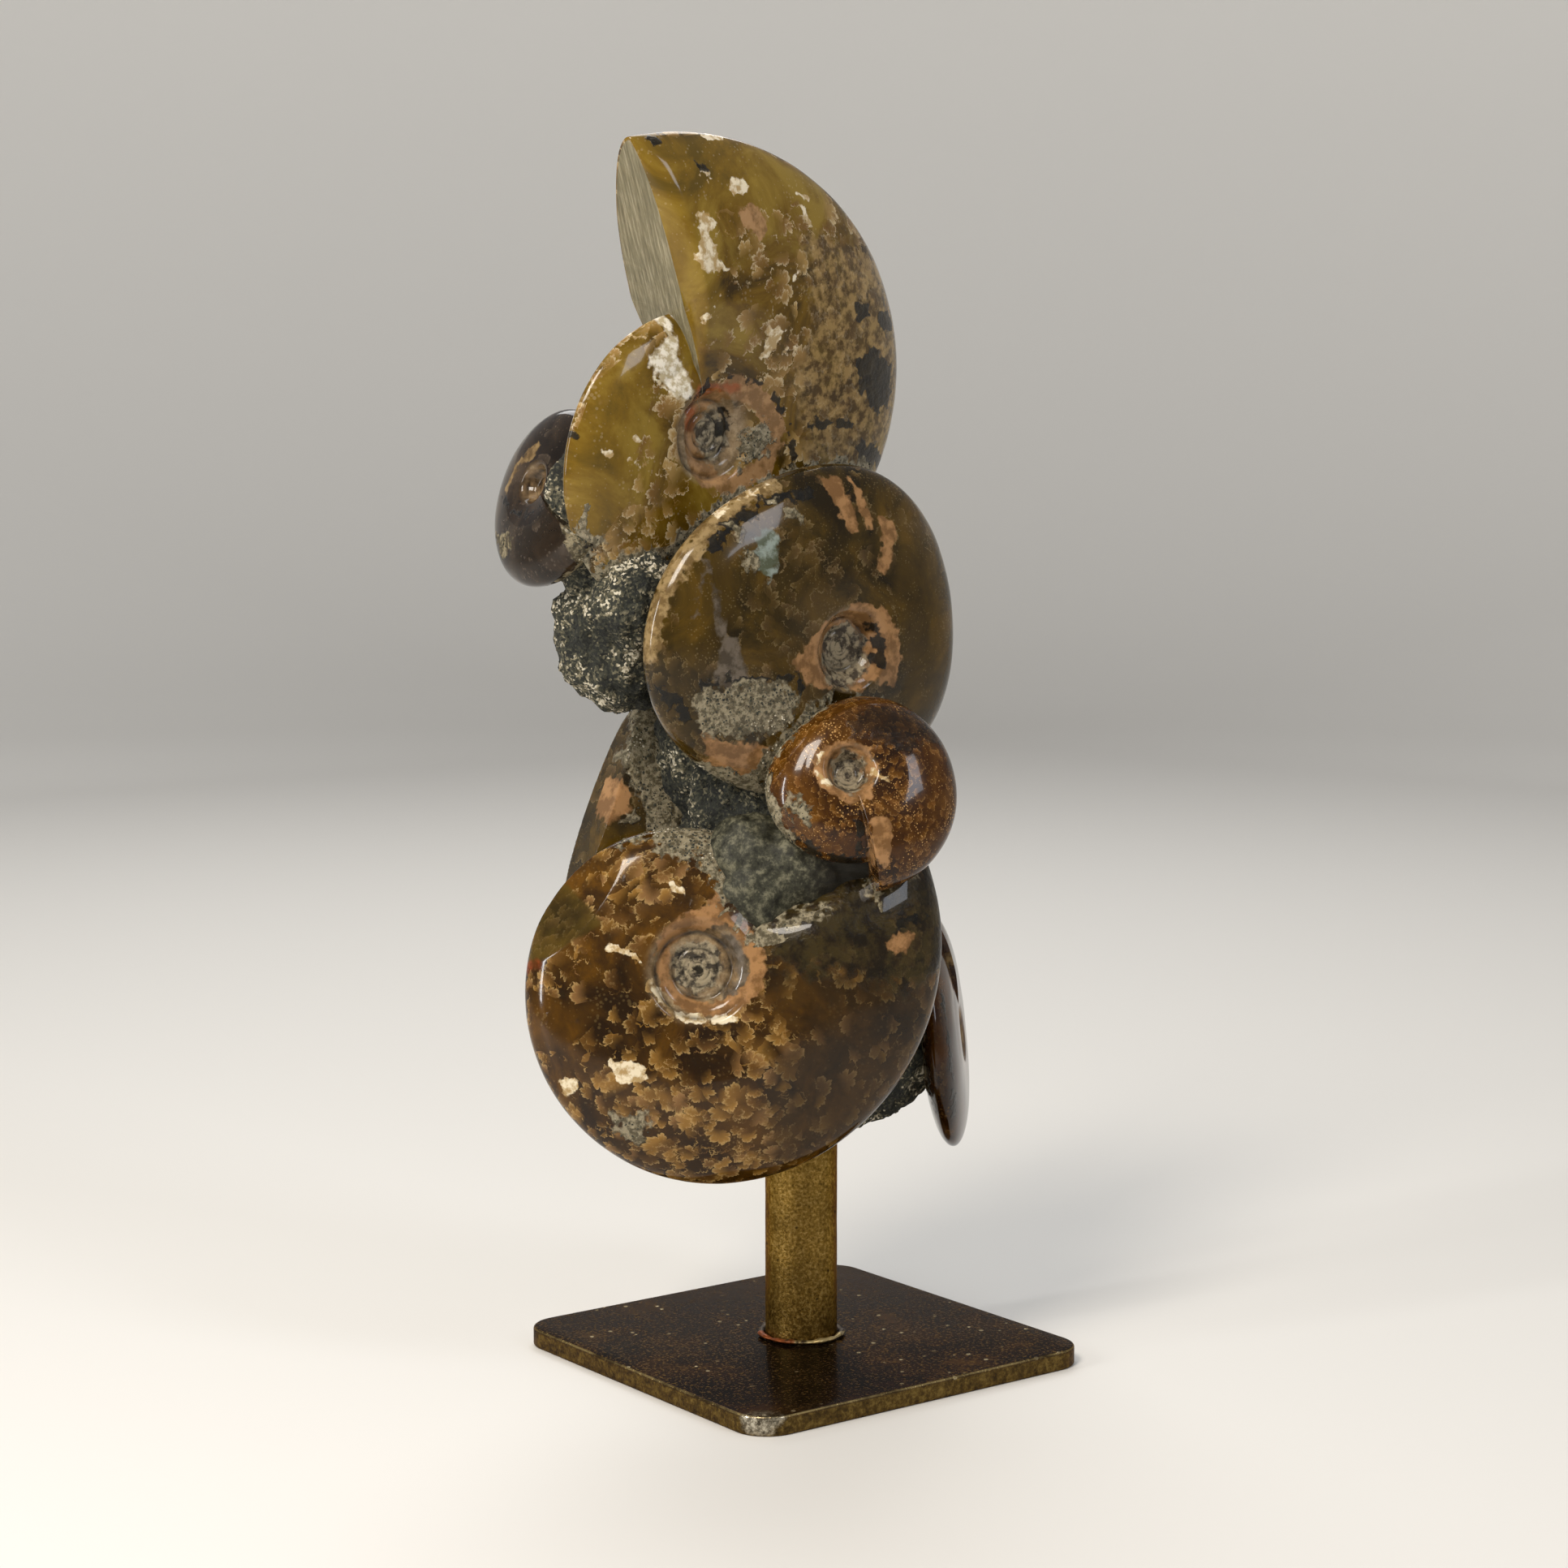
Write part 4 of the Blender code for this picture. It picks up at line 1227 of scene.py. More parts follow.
@dataclass(frozen=True)
class Ammonite:
    """One polished ammonite.

    Attributes:
        name: CAD node, and the piece's name.
        slot: Material slot.
        finish: What it is made of.
        centre: Middle of the coil, in millimetres.
        yaw: Turn of its flat side about Z, in degrees.
        tilt: How far its flat side looks up, in degrees.
        radius: Radius at the mouth, in millimetres.
        growth: How many times larger one turn makes the radius.
        thick: Half thickness as a share of the radius.
        mouth: Angle of the mouth, in degrees.
        hand: 1 where it grows counterclockwise seen from its flat side.
        wear: Rows of (waves, cosine share, sine share) that make the rim uneven.
        flat: Angle, lean and reach in mm of a flat ground on the rim.
        keel: 0.5 for a round rim, more for a sharper one.
        crest: Share of the radius where the shell is thickest.
        slope: Share of the thickness lost from there to the middle.
        navel: Share of the radius where the hollow middle ends.
        hollow: Share of the thickness that the middle lies lower.
        lip: Share of the thickness that is rounded off at the mouth.
        lip_angle: How far back from the mouth that begins, in degrees.
        steps: Number of columns round the coil.
        rows: Number of rows from middle to middle.
        marks: Stained places on it, and places of painted shade and shadow.
        both: True where its marks show on both sides.
        ground: True where its cut mouth shows.
    """

    name: str
    slot: str
    finish: Calcite
    centre: tuple[float, float, float]
    yaw: float
    tilt: float
    radius: float
    growth: float
    thick: float
    mouth: float
    hand: int = 1
    wear: tuple[tuple[int, float, float], ...] = ()
    flat: tuple[float, float, float] = (0.0, 0.0, 500.0)
    keel: float = 0.5
    crest: float = 0.35
    slope: float = 0.0
    navel: float = 0.26
    hollow: float = 0.5
    lip: float = 0.0
    lip_angle: float = 6.0
    steps: int = 300
    rows: int = 150
    marks: tuple[Mark, ...] = field(default=(), repr=False)
    both: bool = False
    ground: bool = False

    def stance(self) -> Matrix:
        """Where the shell's own frame stands."""
        turn = Euler((-math.radians(self.tilt), 0.0, math.radians(self.yaw)))
        return Matrix.Translation(Vector(self.centre) * MM) @ turn.to_matrix().to_4x4()

    def sizes(self, material: bpy.types.Material) -> dict[str, Any]:
        """The inputs of the coil tree for this shell."""
        waves = {waves: (cosine, sine) for waves, cosine, sine in self.wear}
        made = {
            "Radius": self.radius * MM,
            "Growth": self.growth,
            "Thickness": self.thick,
            "Mouth": math.radians(self.mouth),
            "Hand": float(self.hand),
            "Keel": self.keel,
            "Crest": self.crest,
            "Slope": self.slope,
            "Navel": self.navel,
            "Hollow": self.hollow,
            "Flat Angle": math.radians(self.flat[0]),
            "Flat Lean": math.radians(self.flat[1]),
            "Flat Reach": self.flat[2] * MM,
            "Lip": self.lip,
            "Lip Angle": math.radians(self.lip_angle),
            "Whorl": 2.0 * MM * self.radius / 60.0,
            "Ripple": 0.35 * MM,
            "Steps": self.steps,
            "Cut Steps": 40,
            "Rows": self.rows * 2 + 1,
            "Seed": len(self.name),
            "Material": material,
        }
        for count in (1, 2, 3):
            cosine, sine = waves.get(count, (0.0, 0.0))
            made[f"Cosine {count}"] = cosine
            made[f"Sine {count}"] = sine
        return made

    def stain(self, mesh: bpy.types.Mesh) -> np.ndarray:
        """Stores how deep inside each kind of stain the mesh's points are.

        Args:
            mesh: The shell's mesh, in its own frame.

        Returns:
            Depth inside its crusts in millimetres, which isn't stored yet.
        """
        local = points_of(mesh) / MM
        across, deep, up = local[:, 0], local[:, 1], local[:, 2]
        front = np.ones(len(local), bool) if self.both else deep < 1.5
        away = np.hypot(across, up)
        middle = self.radius * self.growth**-0.5 * self.navel
        crust = np.full(len(local), -STAIN_SPAN_MM, np.float32)
        for kind in {mark.stain for mark in self.marks} | set(NAVEL_RINGS):
            depth = np.full(len(local), -STAIN_SPAN_MM)
            for mark in self.marks:
                if mark.stain is kind:
                    inside = np.where(front, mark.depth(across, up), -STAIN_SPAN_MM)
                    depth = np.maximum(depth, inside)
            if not self.both and kind in NAVEL_RINGS:
                ring, wide = NAVEL_RINGS[kind]
                other = middle * wide - np.abs(away - ring * middle)
                depth = np.where(front, depth, other)
            if kind is Stain.CRUST:
                crust = depth.astype(np.float32)
            else:
                store(mesh, kind.value, np.clip(0.5 + depth / STAIN_SPAN_MM, 0.0, 1.0))
        return crust

    def build(
        self,
        tree: bpy.types.NodeTree,
        sand: bpy.types.NodeTree,
        grain: bpy.types.Material,
        neighbours: BVHTree,
    ) -> bpy.types.Object:
        """Makes the shell, its finish and the crust of grains along its seams.

        Args:
            tree: The coil tree.
            sand: The tree that strews grains.
            grain: The grains' material.
            neighbours: Search tree over the other solids of the cluster.

        Returns:
            The piece.
        """
        kinds = {mark.stain for mark in self.marks} | set(NAVEL_RINGS) | {Stain.CRUST}
        material = self.finish.material(kinds, self.ground)
        material.name = f"{self.finish.name} {self.name.replace('ammonite_', '')}"
        mesh = grow(self.name, tree, self.sizes(material))
        drawn = self.stain(mesh)
        mesh.transform(self.stance())
        shape = bmesh.new()
        shape.from_mesh(mesh)
        bmesh.ops.recalc_face_normals(shape, faces=shape.faces)
        shape.to_mesh(mesh)
        shape.free()
        # The rock's crust creeps over the shell where the two meet
        gap = gap_to(neighbours, points_of(mesh), NEIGHBOUR_MM * MM) / MM
        crust = np.where(gap < NEIGHBOUR_MM - 0.1, CRUST_REACH_MM - gap, -STAIN_SPAN_MM)
        crust = np.maximum(crust, drawn)
        store(mesh, Stain.CRUST.value, np.clip(0.5 + crust / STAIN_SPAN_MM, 0.0, 1.0))
        store(mesh, "bare", np.clip((crust + 0.4) / 1.6, 0.0, 1.0) * (gap > -0.5))
        values = CRUST_GRAINS.sizes(len(self.name) + 3, grain)
        grains = grow(self.name.replace("ammonite", "crust"), sand, values, mesh.copy())
        mesh.attributes.remove(mesh.attributes["bare"])
        if grains.polygons:
            place_piece(grains.name, grains, "rock")
        return place_piece(self.name, mesh, self.slot, self.name)


# The same sizes as in the part's source, except the lower shell's radius and mouth
SHELLS = (
    Ammonite(
        *("ammonite_top", "shell_honey", HONEY, (-31.4, 0.2, 228.7), 6.3, -6.2),
        *(77.3, 2.44, 0.160, 111.8, 1),
        wear=((1, 0.021, -0.001), (2, 0.056, 0.050), (3, 0.016, 0.001)),
        keel=0.62,
        crest=0.52,
        slope=0.55,
        navel=0.24,
        hollow=0.35,
        lip=0.5,
        steps=400,
        rows=92,
        marks=TOP_MARKS,
        ground=True,
    ),
    Ammonite(
        *("ammonite_middle", "shell_olive", OLIVE, (-3.0, -14.4, 178.0), -0.8, -3.3),
        *(51.8, 1.63, 0.231, 243.9, 1),
        wear=((1, 0.013, 0.070), (2, 0.060, -0.057), (3, -0.060, -0.021)),
        steps=320,
        rows=80,
        marks=MIDDLE_MARKS,
    ),
    Ammonite(
        *("ammonite_small", "shell_amber", GRAINY_AMBER, (-10.8, -31.0, 147.4)),
        *(-28.8, 21.6, 25.2, 1.36, 0.425, 283.2, -1),
        wear=((1, 0.111, -0.108), (2, 0.019, 0.030), (3, -0.015, -0.011)),
        flat=(128.0, 0.0, 19.5),
        navel=0.30,
        steps=220,
        rows=60,
        marks=SMALL_MARKS,
    ),
    Ammonite(
        *("ammonite_lower", "shell_honey", AMBER, (-40.2, -11.9, 102.5), -31.9, 9.4),
        *(61.2, 1.97, 0.236, 35.0, 1),
        wear=((1, 0.013, -0.024), (2, -0.003, 0.006), (3, 0.003, 0.007)),
        flat=(142.0, 49.0, 23.6),
        navel=0.30,
        hollow=0.35,
        lip=0.65,
        lip_angle=26.0,
        steps=380,
        rows=90,
        marks=LOWER_MARKS,
    ),
    Ammonite(
        *("ammonite_lower_back", "shell_olive", OLIVE, (-20.0, 13.4, 130.5), -16.0),
        *(6.0, 48.0, 1.5, 0.20, 20.0, 1),
        flat=(158.0, 12.0, 27.0),
        steps=260,
        rows=64,
        marks=LOWER_BACK_MARKS,
    ),
    Ammonite(
        *("ammonite_left_back", "shell_grey", GREY_SHELL, (-59.5, 18.0, 215.0), -92.0),
        *(18.0, 25.0, 1.4, 0.30, 330.0, 1),
        steps=200,
        rows=50,
        marks=LEFT_BACK_MARKS,
    ),
    Ammonite(
        *("ammonite_right_edge", "shell_brown", BROWN_SHELL, (34.0, -13.6, 79.0), 47.0),
        *(7.0, 31.0, 1.2, 0.18, 100.0, 1),
        steps=200,
        rows=50,
        marks=RIGHT_EDGE_MARKS,
        both=True,
    ),
)


@dataclass(frozen=True)
class Sandstone:
    """Dark green-grey sandstone, broken by hand and left rough.

    It gives the eye a dull, granular dark ground with pale and white grains.

    Attributes:
        lumps: Rows of centre and radii of the rock's lumps, in millimetres.
        chamber: The same for the stone in the open chamber, in the lower shell's frame.
        voxel: Size of the faces that both are made with.
    """

    lumps: tuple[tuple[tuple[float, ...], tuple[float, ...]], ...] = (
        ((-49.0, 15.0, 210.0), (12.0, 10.0, 17.0)),
        ((-58.0, 8.0, 209.0), (8.0, 8.0, 19.0)),
        ((-36.0, 14.0, 204.0), (22.0, 13.0, 24.0)),
        ((-46.0, 10.0, 181.0), (16.0, 15.0, 19.0)),
        ((-50.0, -2.0, 189.0), (11.0, 9.0, 12.0)),
        ((-4.0, 13.0, 220.0), (28.0, 14.0, 34.0)),
        ((-4.0, 10.0, 180.0), (31.0, 20.0, 34.0)),
        ((-12.0, 12.0, 150.0), (22.0, 17.0, 24.0)),
        ((-25.0, -5.0, 141.0), (11.0, 10.0, 12.0)),
        ((-6.0, 10.0, 108.0), (32.0, 24.0, 42.0)),
        ((8.0, -8.0, 86.0), (28.0, 20.0, 28.0)),
        ((-23.0, -12.0, 129.0), (11.0, 9.0, 16.0)),
        ((3.0, -15.0, 138.0), (22.0, 19.0, 28.0)),
    )
    chamber: tuple[tuple[tuple[float, ...], tuple[float, ...]], ...] = (
        ((14.0, 0.0, 18.0), (11.0, 11.0, 12.0)),
        ((25.0, 0.0, 24.0), (15.0, 11.5, 12.0)),
        ((38.0, 0.0, 27.0), (14.0, 10.5, 10.0)),
        ((13.0, 0.0, 26.0), (11.0, 10.0, 12.0)),
    )
    voxel: float = 1.1 * MM

    def material(self, grains: bool) -> bpy.types.Material:
        """Builds the rock's material, or that of its loose grains."""
        name = "sandstone grains" if grains else "dark sandstone"
        made, n, shader = shader_of(name, Roughness=0.82, IOR=1.5)
        here = n.here()
        patch = n.add(NOISE, here, inputs={"Scale": 110.0, "Detail": 6.0, "Roughness": 0.7})
        if grains:
            tone = n.add(ATTRIBUTE, attribute_name="tone")
        else:
            # Grains about 0.6 mm across
            cell = n.add(CELLS, here, inputs={"Scale": 1600.0}).node.outputs["Color"]
            tone = n.add("ShaderNodeSeparateColor", cell)
            tone = n.add(MATH, tone, 0.8, operation="MULTIPLY")
        shift = n.add(RANGE, patch, 0.35, 0.65, -0.36, 0.44)
        tone = n.add(MATH, tone, shift, operation="ADD", use_clamp=True)
        tint = n.add(
            RAMP,
            tone,
            stops=(
                (0.0, "#12130e"),
                (0.35, "#23251c"),
                (0.62, "#3c3b2d"),
                (0.80, "#6a644e"),
                (0.92, "#978d74"),
                (1.0, "#c9c0aa"),
            ),
        )
        n.tree.links.new(tint, shader.inputs["Base Color"])
        if not grains:
            fine = n.add(NOISE, here, inputs={"Scale": 700.0, "Detail": 5.0})
            height = n.add(MATH, fine, tone, operation="ADD")
            relief = n.add("ShaderNodeBump", 0.9, 0.0009, inputs={"Height": height})
            n.tree.links.new(relief, shader.inputs["Normal"])
        return made

    def chamber_material(self) -> bpy.types.Material:
        """Dark stone polished with the shells, green-grey at its left end."""
        made, n, shader = shader_of(
            "polished chamber stone", Roughness=0.5, IOR=1.5, Specular_IOR_Level=0.25
        )
        here = n.here()
        split = n.add(SPLIT, here).node.outputs
        streak = n.add("ShaderNodeMapping", here, None, None, (1.0, 1.0, 6.0))
        streak = n.add(NOISE, streak, inputs={"Scale": 120.0, "Detail": 6.0, "Roughness": 0.7})
        dark = n.add(RAMP, streak, stops=((0.3, "#0f0c06"), (0.55, "#1e1a10"), (0.75, "#3a3424")))
        cloud = n.add(NOISE, here, inputs={"Scale": 420.0, "Detail": 7.0, "Roughness": 0.72})
        green = n.add(RAMP, cloud, stops=((0.36, "#1a1910"), (0.5, "#39382b"), (0.64, "#706c57")))
        left = n.add(MATH, cloud, -0.012, split["X"], operation="MULTIPLY_ADD")
        left = n.add(RANGE, left, -0.031, -0.023, 1.0, 0.0)
        base = n.add(MIX, left, dark, green, data_type="RGBA")
        n.tree.links.new(base, shader.inputs["Base Color"])
        relief = n.add("ShaderNodeBump", 0.5, 0.0006, inputs={"Height": cloud})
        n.tree.links.new(relief, shader.inputs["Normal"])
        return made

    def melt(
        self, name: str, lumps: Sequence[Any], place: Matrix, coarse: float, crumb: float
    ) -> bpy.types.Mesh:
        """Melts lumps into one skin and roughens it.

        Args:
            name: Mesh name.
            lumps: Rows of centre and radii, in millimetres.
            place: Where the lumps' own frame stands.
            coarse: Height of the large unevenness, in millimetres.
            crumb: Height of the small unevenness, in millimetres.

        Returns:
            The mesh.
        """
        shape = bmesh.new()
        for centre, radii in lumps:
            stretch = Matrix.Diagonal((*(Vector(radii) * MM), 1.0))
            spot = place @ Matrix.Translation(Vector(centre) * MM) @ stretch
            bmesh.ops.create_icosphere(shape, subdivisions=4, radius=1.0, matrix=spot)
        host = bpy.data.objects.new(name + "_host", settled(name, shape))
        bpy.context.scene.collection.objects.link(host)
        remesh = host.modifiers.new("join", "REMESH")
        remesh.mode = "VOXEL"
        remesh.voxel_size = self.voxel
        graph = bpy.context.evaluated_depsgraph_get()
        rock = bpy.data.meshes.new_from_object(host.evaluated_get(graph))
        bpy.data.objects.remove(host, do_unlink=True)
        points, normals = points_of(rock), points_of(rock, "normal")
        for index, point in enumerate(points):
            wide = noise.fractal(Vector(point) * 60.0, 0.8, 2.1, 3) * coarse
            small = noise.fractal(Vector(point) * 260.0, 0.7, 2.2, 3) * crumb
            points[index] += normals[index] * (wide + small) * MM
        rock.vertices.foreach_set("co", points.astype(np.float32).ravel())
        rock.update()
        smooth(rock)
        rock.materials.clear()
        return rock

    def build(
        self,
        sand: bpy.types.NodeTree,
        grain: bpy.types.Material,
        shells: BVHTree,
        lower: Ammonite,
    ) -> None:
        """Makes the rock, its loose grains and the stone in the open chamber.

        Args:
            sand: The tree that strews grains.
            grain: The grains' material.
            shells: Search tree over the shells' solids.
            lower: The shell whose open chamber holds the stone.
        """
        rock = self.melt("matrix", self.lumps, Matrix(), 2.6, 1.2)
        gap = gap_to(shells, points_of(rock), 6.0 * MM)
        store(rock, "bare", np.clip((gap / MM + 0.6) / 1.2, 0.0, 1.0))
        rock.materials.append(self.material(grains=False))
        values = ROCK_GRAINS.sizes(11, grain)
        grains = grow("matrix_grains", sand, values, rock.copy())
        rock.attributes.remove(rock.attributes["bare"])
        place_piece("matrix", rock, "rock", "matrix")
        place_piece("matrix_grains", grains, "rock")
        stone = self.melt("chamber_stone", self.chamber, lower.stance(), 0.8, 0.6)
        stone.materials.append(self.chamber_material())
        place_piece("chamber_stone", stone, "rock")


@dataclass(frozen=True)
class Stand:
    """The steel stand: a square plate, a round rod and the weld between them.

    Attributes:
        side: Side of the plate.
        thick: Thickness of the plate.
        corner: Radius of the plate's corners.
        edge: Radius of its softened edges.
        rod: Radius of the rod.
        rod_top: Height where the rod ends inside the rock.
        gap: Gap between the plate, the weld and the rod.
    """

    side: float = 101.6 * MM
    thick: float = 4.76 * MM
    corner: float = 9.0 * MM
    edge: float = 0.6 * MM
    rod: float = 9.0 * MM
    rod_top: float = 78.0 * MM
    gap: float = 0.3 * MM

    def plate_material(self) -> bpy.types.Material:
        """Steel plate sprayed dark bronze, glossy, scuffed and bare at one corner."""
        made, n, shader = shader_of("bronze sprayed steel plate", Metallic=0.85, Coat_Weight=0.12)
        shader.inputs["Coat Roughness"].default_value = 0.12
        shader.inputs["Specular Tint"].default_value = colour("#8a7350")
        here = n.here()
        split = n.add(SPLIT, here).node.outputs
        cloud = n.add(NOISE, here, inputs={"Scale": 60.0, "Detail": 8.0, "Roughness": 0.7})
        bronze = n.add(RAMP, cloud, stops=((0.3, "#20160a"), (0.5, "#38291a"), (0.72, "#5c4524")))
        # Paint dust about 0.6 mm across, coarser than real so that it shows
        dust = n.add(NOISE, here, inputs={"Scale": 1300.0, "Detail": 2.0})
        dust = n.add(RANGE, dust, 0.56, 0.70, 0.0, 0.75)
        bronze = n.add(MIX, dust, bronze, "#8a7040", data_type="RGBA")
        speck = n.add(CELLS, here, inputs={"Scale": 210.0})
        speck = n.add(RANGE, speck, 0.10, 0.14, 0.95, 0.0)
        pick = n.add(NOISE, here, inputs={"Scale": 60.0, "Detail": 2.0})
        pick = n.add(RANGE, pick, 0.46, 0.56, 0.0, 1.0)
        speck = n.add(MATH, speck, pick, operation="MULTIPLY")
        bronze = n.add(MIX, speck, bronze, "#c9bb98", data_type="RGBA")
        # The side faces are browner, with a thin light line where the top begins
        low = n.add(RANGE, split["Z"], self.thick - 0.9 * MM, self.thick - 0.5 * MM, 1.0, 0.0)
        grain = n.add(NOISE, here, inputs={"Scale": 700.0, "Detail": 4.0, "Roughness": 0.7})
        gold = n.add(RAMP, grain, stops=((0.3, "#2c210f"), (0.5, "#57441f"), (0.72, "#86703c")))
        base = n.add(MIX, low, bronze, gold, data_type="RGBA")
        line = n.add(RANGE, split["Z"], self.thick - 0.55 * MM, self.thick - 0.3 * MM, 0.0, 1.0)
        worn = n.add(RANGE, split["Z"], self.thick - 0.12 * MM, self.thick - 0.02 * MM, 1.0, 0.0)
        line = n.add(MATH, line, worn, operation="MULTIPLY")
        patchy = n.add(RANGE, cloud, 0.42, 0.56, 0.15, 0.9)
        line = n.add(MATH, line, patchy, operation="MULTIPLY")
        base = n.add(MIX, line, base, "#b09a68", data_type="RGBA")
        # Bare steel at the corner nearest the camera
        corner = (-self.side / 2 + 3.0 * MM, -self.side / 2 + 3.0 * MM, self.thick)
        far = n.add(VECTOR, here, corner, operation="DISTANCE")
        far = far.node.outputs["Value"]
        far = n.add(MATH, cloud, 16.0 * MM, far, operation="MULTIPLY_ADD")
        bare = n.add(RANGE, far, 12.5 * MM, 14.5 * MM, 1.0, 0.0)
        side = n.add(RANGE, split["Z"], self.thick - 0.5 * MM, self.thick - 0.1 * MM, 1.0, 0.35)
        bare = n.add(MATH, bare, side, operation="MULTIPLY")
        steel = n.add(RAMP, grain, stops=((0.36, "#3c352a"), (0.5, "#8f8775"), (0.6, "#c3bba8")))
        base = n.add(MIX, bare, base, steel, data_type="RGBA")
        rough = n.add(RANGE, cloud, 0.3, 0.7, 0.17, 0.34)
        rough = n.add(MIX, low, rough, 0.45, data_type="FLOAT")
        n.tree.links.new(base, shader.inputs["Base Color"])
        n.tree.links.new(rough, shader.inputs["Roughness"])
        height = n.add(MATH, dust, speck, operation="ADD")
        relief = n.add("ShaderNodeBump", 0.5, 0.0002, inputs={"Height": height})
        n.tree.links.new(relief, shader.inputs["Normal"])
        return made

    def rod_material(self) -> bpy.types.Material:
        """Steel rod sprayed with gold metallic paint, which has a fine grain."""
        made, n, shader = shader_of("gold sprayed steel rod", Metallic=0.9)
        shader.inputs["Specular Tint"].default_value = colour("#a08858")
        here = n.here()
        # Paint grain about 0.6 mm, coarser than real so that it shows
        grain = n.add(NOISE, here, inputs={"Scale": 1300.0, "Detail": 3.0, "Roughness": 0.7})
        cloud = n.add(NOISE, here, inputs={"Scale": 90.0, "Detail": 5.0, "Roughness": 0.65})
        gold = n.add(RAMP, grain, stops=((0.32, "#4f3c18"), (0.5, "#86692f"), (0.68, "#b8995a")))
        dim = n.add(RANGE, cloud, 0.38, 0.62, 0.0, 0.55)
        gold = n.add(MIX, dim, gold, "#4a3818", data_type="RGBA")
        pit = n.add(CELLS, here, inputs={"Scale": 170.0})
        pit = n.add(RANGE, pit, 0.06, 0.10, 0.9, 0.0)
        gold = n.add(MIX, pit, gold, "#1c140a", data_type="RGBA")
        n.tree.links.new(gold, shader.inputs["Base Color"])
        rough = n.add(RANGE, grain, 0.3, 0.7, 0.30, 0.48)
        n.tree.links.new(rough, shader.inputs["Roughness"])
        relief = n.add("ShaderNodeBump", 0.6, 0.0002, inputs={"Height": grain})
        n.tree.links.new(relief, shader.inputs["Normal"])
        return made

    def weld_material(self) -> bpy.types.Material:
        """Painted weld, pale in patches over its front and rusty at its left."""
        made, n, shader = shader_of("painted weld", Metallic=0.6, Roughness=0.42)
        here = n.here()
        split = n.add(SPLIT, here).node.outputs
        patch = n.add(NOISE, here, inputs={"Scale": 300.0, "Detail": 5.0, "Roughness": 0.65})
        base = n.add(RAMP, patch, stops=((0.3, "#2a1e0e"), (0.6, "#4f3b1c"), (0.8, "#7a6236")))
        front = n.add(RANGE, split["Y"], -0.004, -0.008, 0.0, 0.5)
        front = n.add(MATH, front, patch, operation="ADD")
        front = n.add(RANGE, front, 0.88, 1.0, 0.0, 0.9)
        base = n.add(MIX, front, base, "#c8b078", data_type="RGBA")
        left = n.add(RANGE, split["X"], -0.005, -0.010, 0.0, 0.6)
        left = n.add(MATH, left, patch, operation="ADD")
        left = n.add(RANGE, left, 0.80, 0.95, 0.0, 0.95)
        base = n.add(MIX, left, base, "#8a4516", data_type="RGBA")
        n.tree.links.new(base, shader.inputs["Base Color"])
        return made

    @staticmethod
    def rings(rows: Sequence[Sequence[Sequence[float]]], closed: bool) -> bpy.types.Mesh:
        """Joins rings of points, one above the other, into a closed mesh.

        Args:
            rows: The rings.
            closed: True joins the last ring to the first, False caps both ends.

        Returns:
            The mesh, smooth with sharp edges kept.
        """
        shape = bmesh.new()
        made = [[shape.verts.new(point) for point in row] for row in rows]
        pairs = list(zip(made, made[1:])) + ([(made[-1], made[0])] if closed else [])
        for lower, upper in pairs:
            for step in range(len(lower)):
                after = (step + 1) % len(lower)
                shape.faces.new((lower[step], lower[after], upper[after], upper[step]))
        if not closed:
            shape.faces.new(list(reversed(made[0])))
            shape.faces.new(made[-1])
        bmesh.ops.recalc_face_normals(shape, faces=shape.faces)
        mesh = settled("rings", shape)
        smooth(mesh)
        mesh.set_sharp_from_angle(angle=math.radians(40.0))
        return mesh

    def plate_ring(self, inset: float, height: float) -> list[tuple[float, float, float]]:
        """Outline of the plate, drawn in by the inset, at this height."""
        ring = []
        reach = self.side / 2 - self.corner
        away = self.corner - inset
        for corner in range(4):
            base = math.radians(90.0 * corner + 45.0)
            across = reach * math.copysign(1.0, math.cos(base))
            along = reach * math.copysign(1.0, math.sin(base))
            for step in range(17):
                turn = math.radians(90.0 * (corner + step / 16))
                x = across + away * math.cos(turn)
                ring.append((x, along + away * math.sin(turn), height))
        return ring

    def build(self) -> None:
        """Makes the plate, the rod and the weld."""
        edge = [
            (self.edge * (1 - math.sin(turn)), self.edge * (1 - math.cos(turn)))
            for turn in (math.radians(22.5 * step) for step in range(5))
        ]
        rows = edge + [(inset, self.thick - height) for inset, height in reversed(edge)]
        plate = self.rings([self.plate_ring(*row) for row in rows], closed=False)
        plate.materials.append(self.plate_material())
        place_piece("base_plate", plate, "plate", "base_plate")

        foot = self.thick + self.gap
        rod_rows = []
        for height in np.linspace(foot, self.rod_top, 36):
            ring = []
            for step in range(72):
                turn = math.tau * step / 72
                way = Vector((math.cos(turn), math.sin(turn), 0.0))
                dent = noise.fractal((way * self.rod + Vector((0, 0, height))) * 160, 1, 2, 2)
                out = way * (self.rod - 0.06 * MM + dent * 0.06 * MM)
                ring.append((out.x, out.y, height))
            rod_rows.append(ring)
        rod = self.rings(rod_rows, closed=False)
        rod.materials.append(self.rod_material())
        place_piece("post", rod, "rod", "post")

        inner = self.rod + self.gap
        weld_rows = []
        for turn_up in range(10):
            tip = math.tau * turn_up / 10
            ring = []
            for step in range(140):
                turn = math.tau * step / 140
                lump = 1.0 + 0.18 * math.sin(7 * turn + 0.6) + 0.12 * math.sin(17 * turn)
                away = inner + 0.75 * MM * lump * (1.0 + math.cos(tip))
                height = foot + 0.5 * MM * lump * (1.0 + math.sin(tip))
                ring.append((away * math.cos(turn), away * math.sin(turn), height))
            weld_rows.append(ring)
        weld = self.rings(weld_rows, closed=True)
        weld.materials.append(self.weld_material())
        place_piece("weld_bead", weld, "weld", "weld_bead")


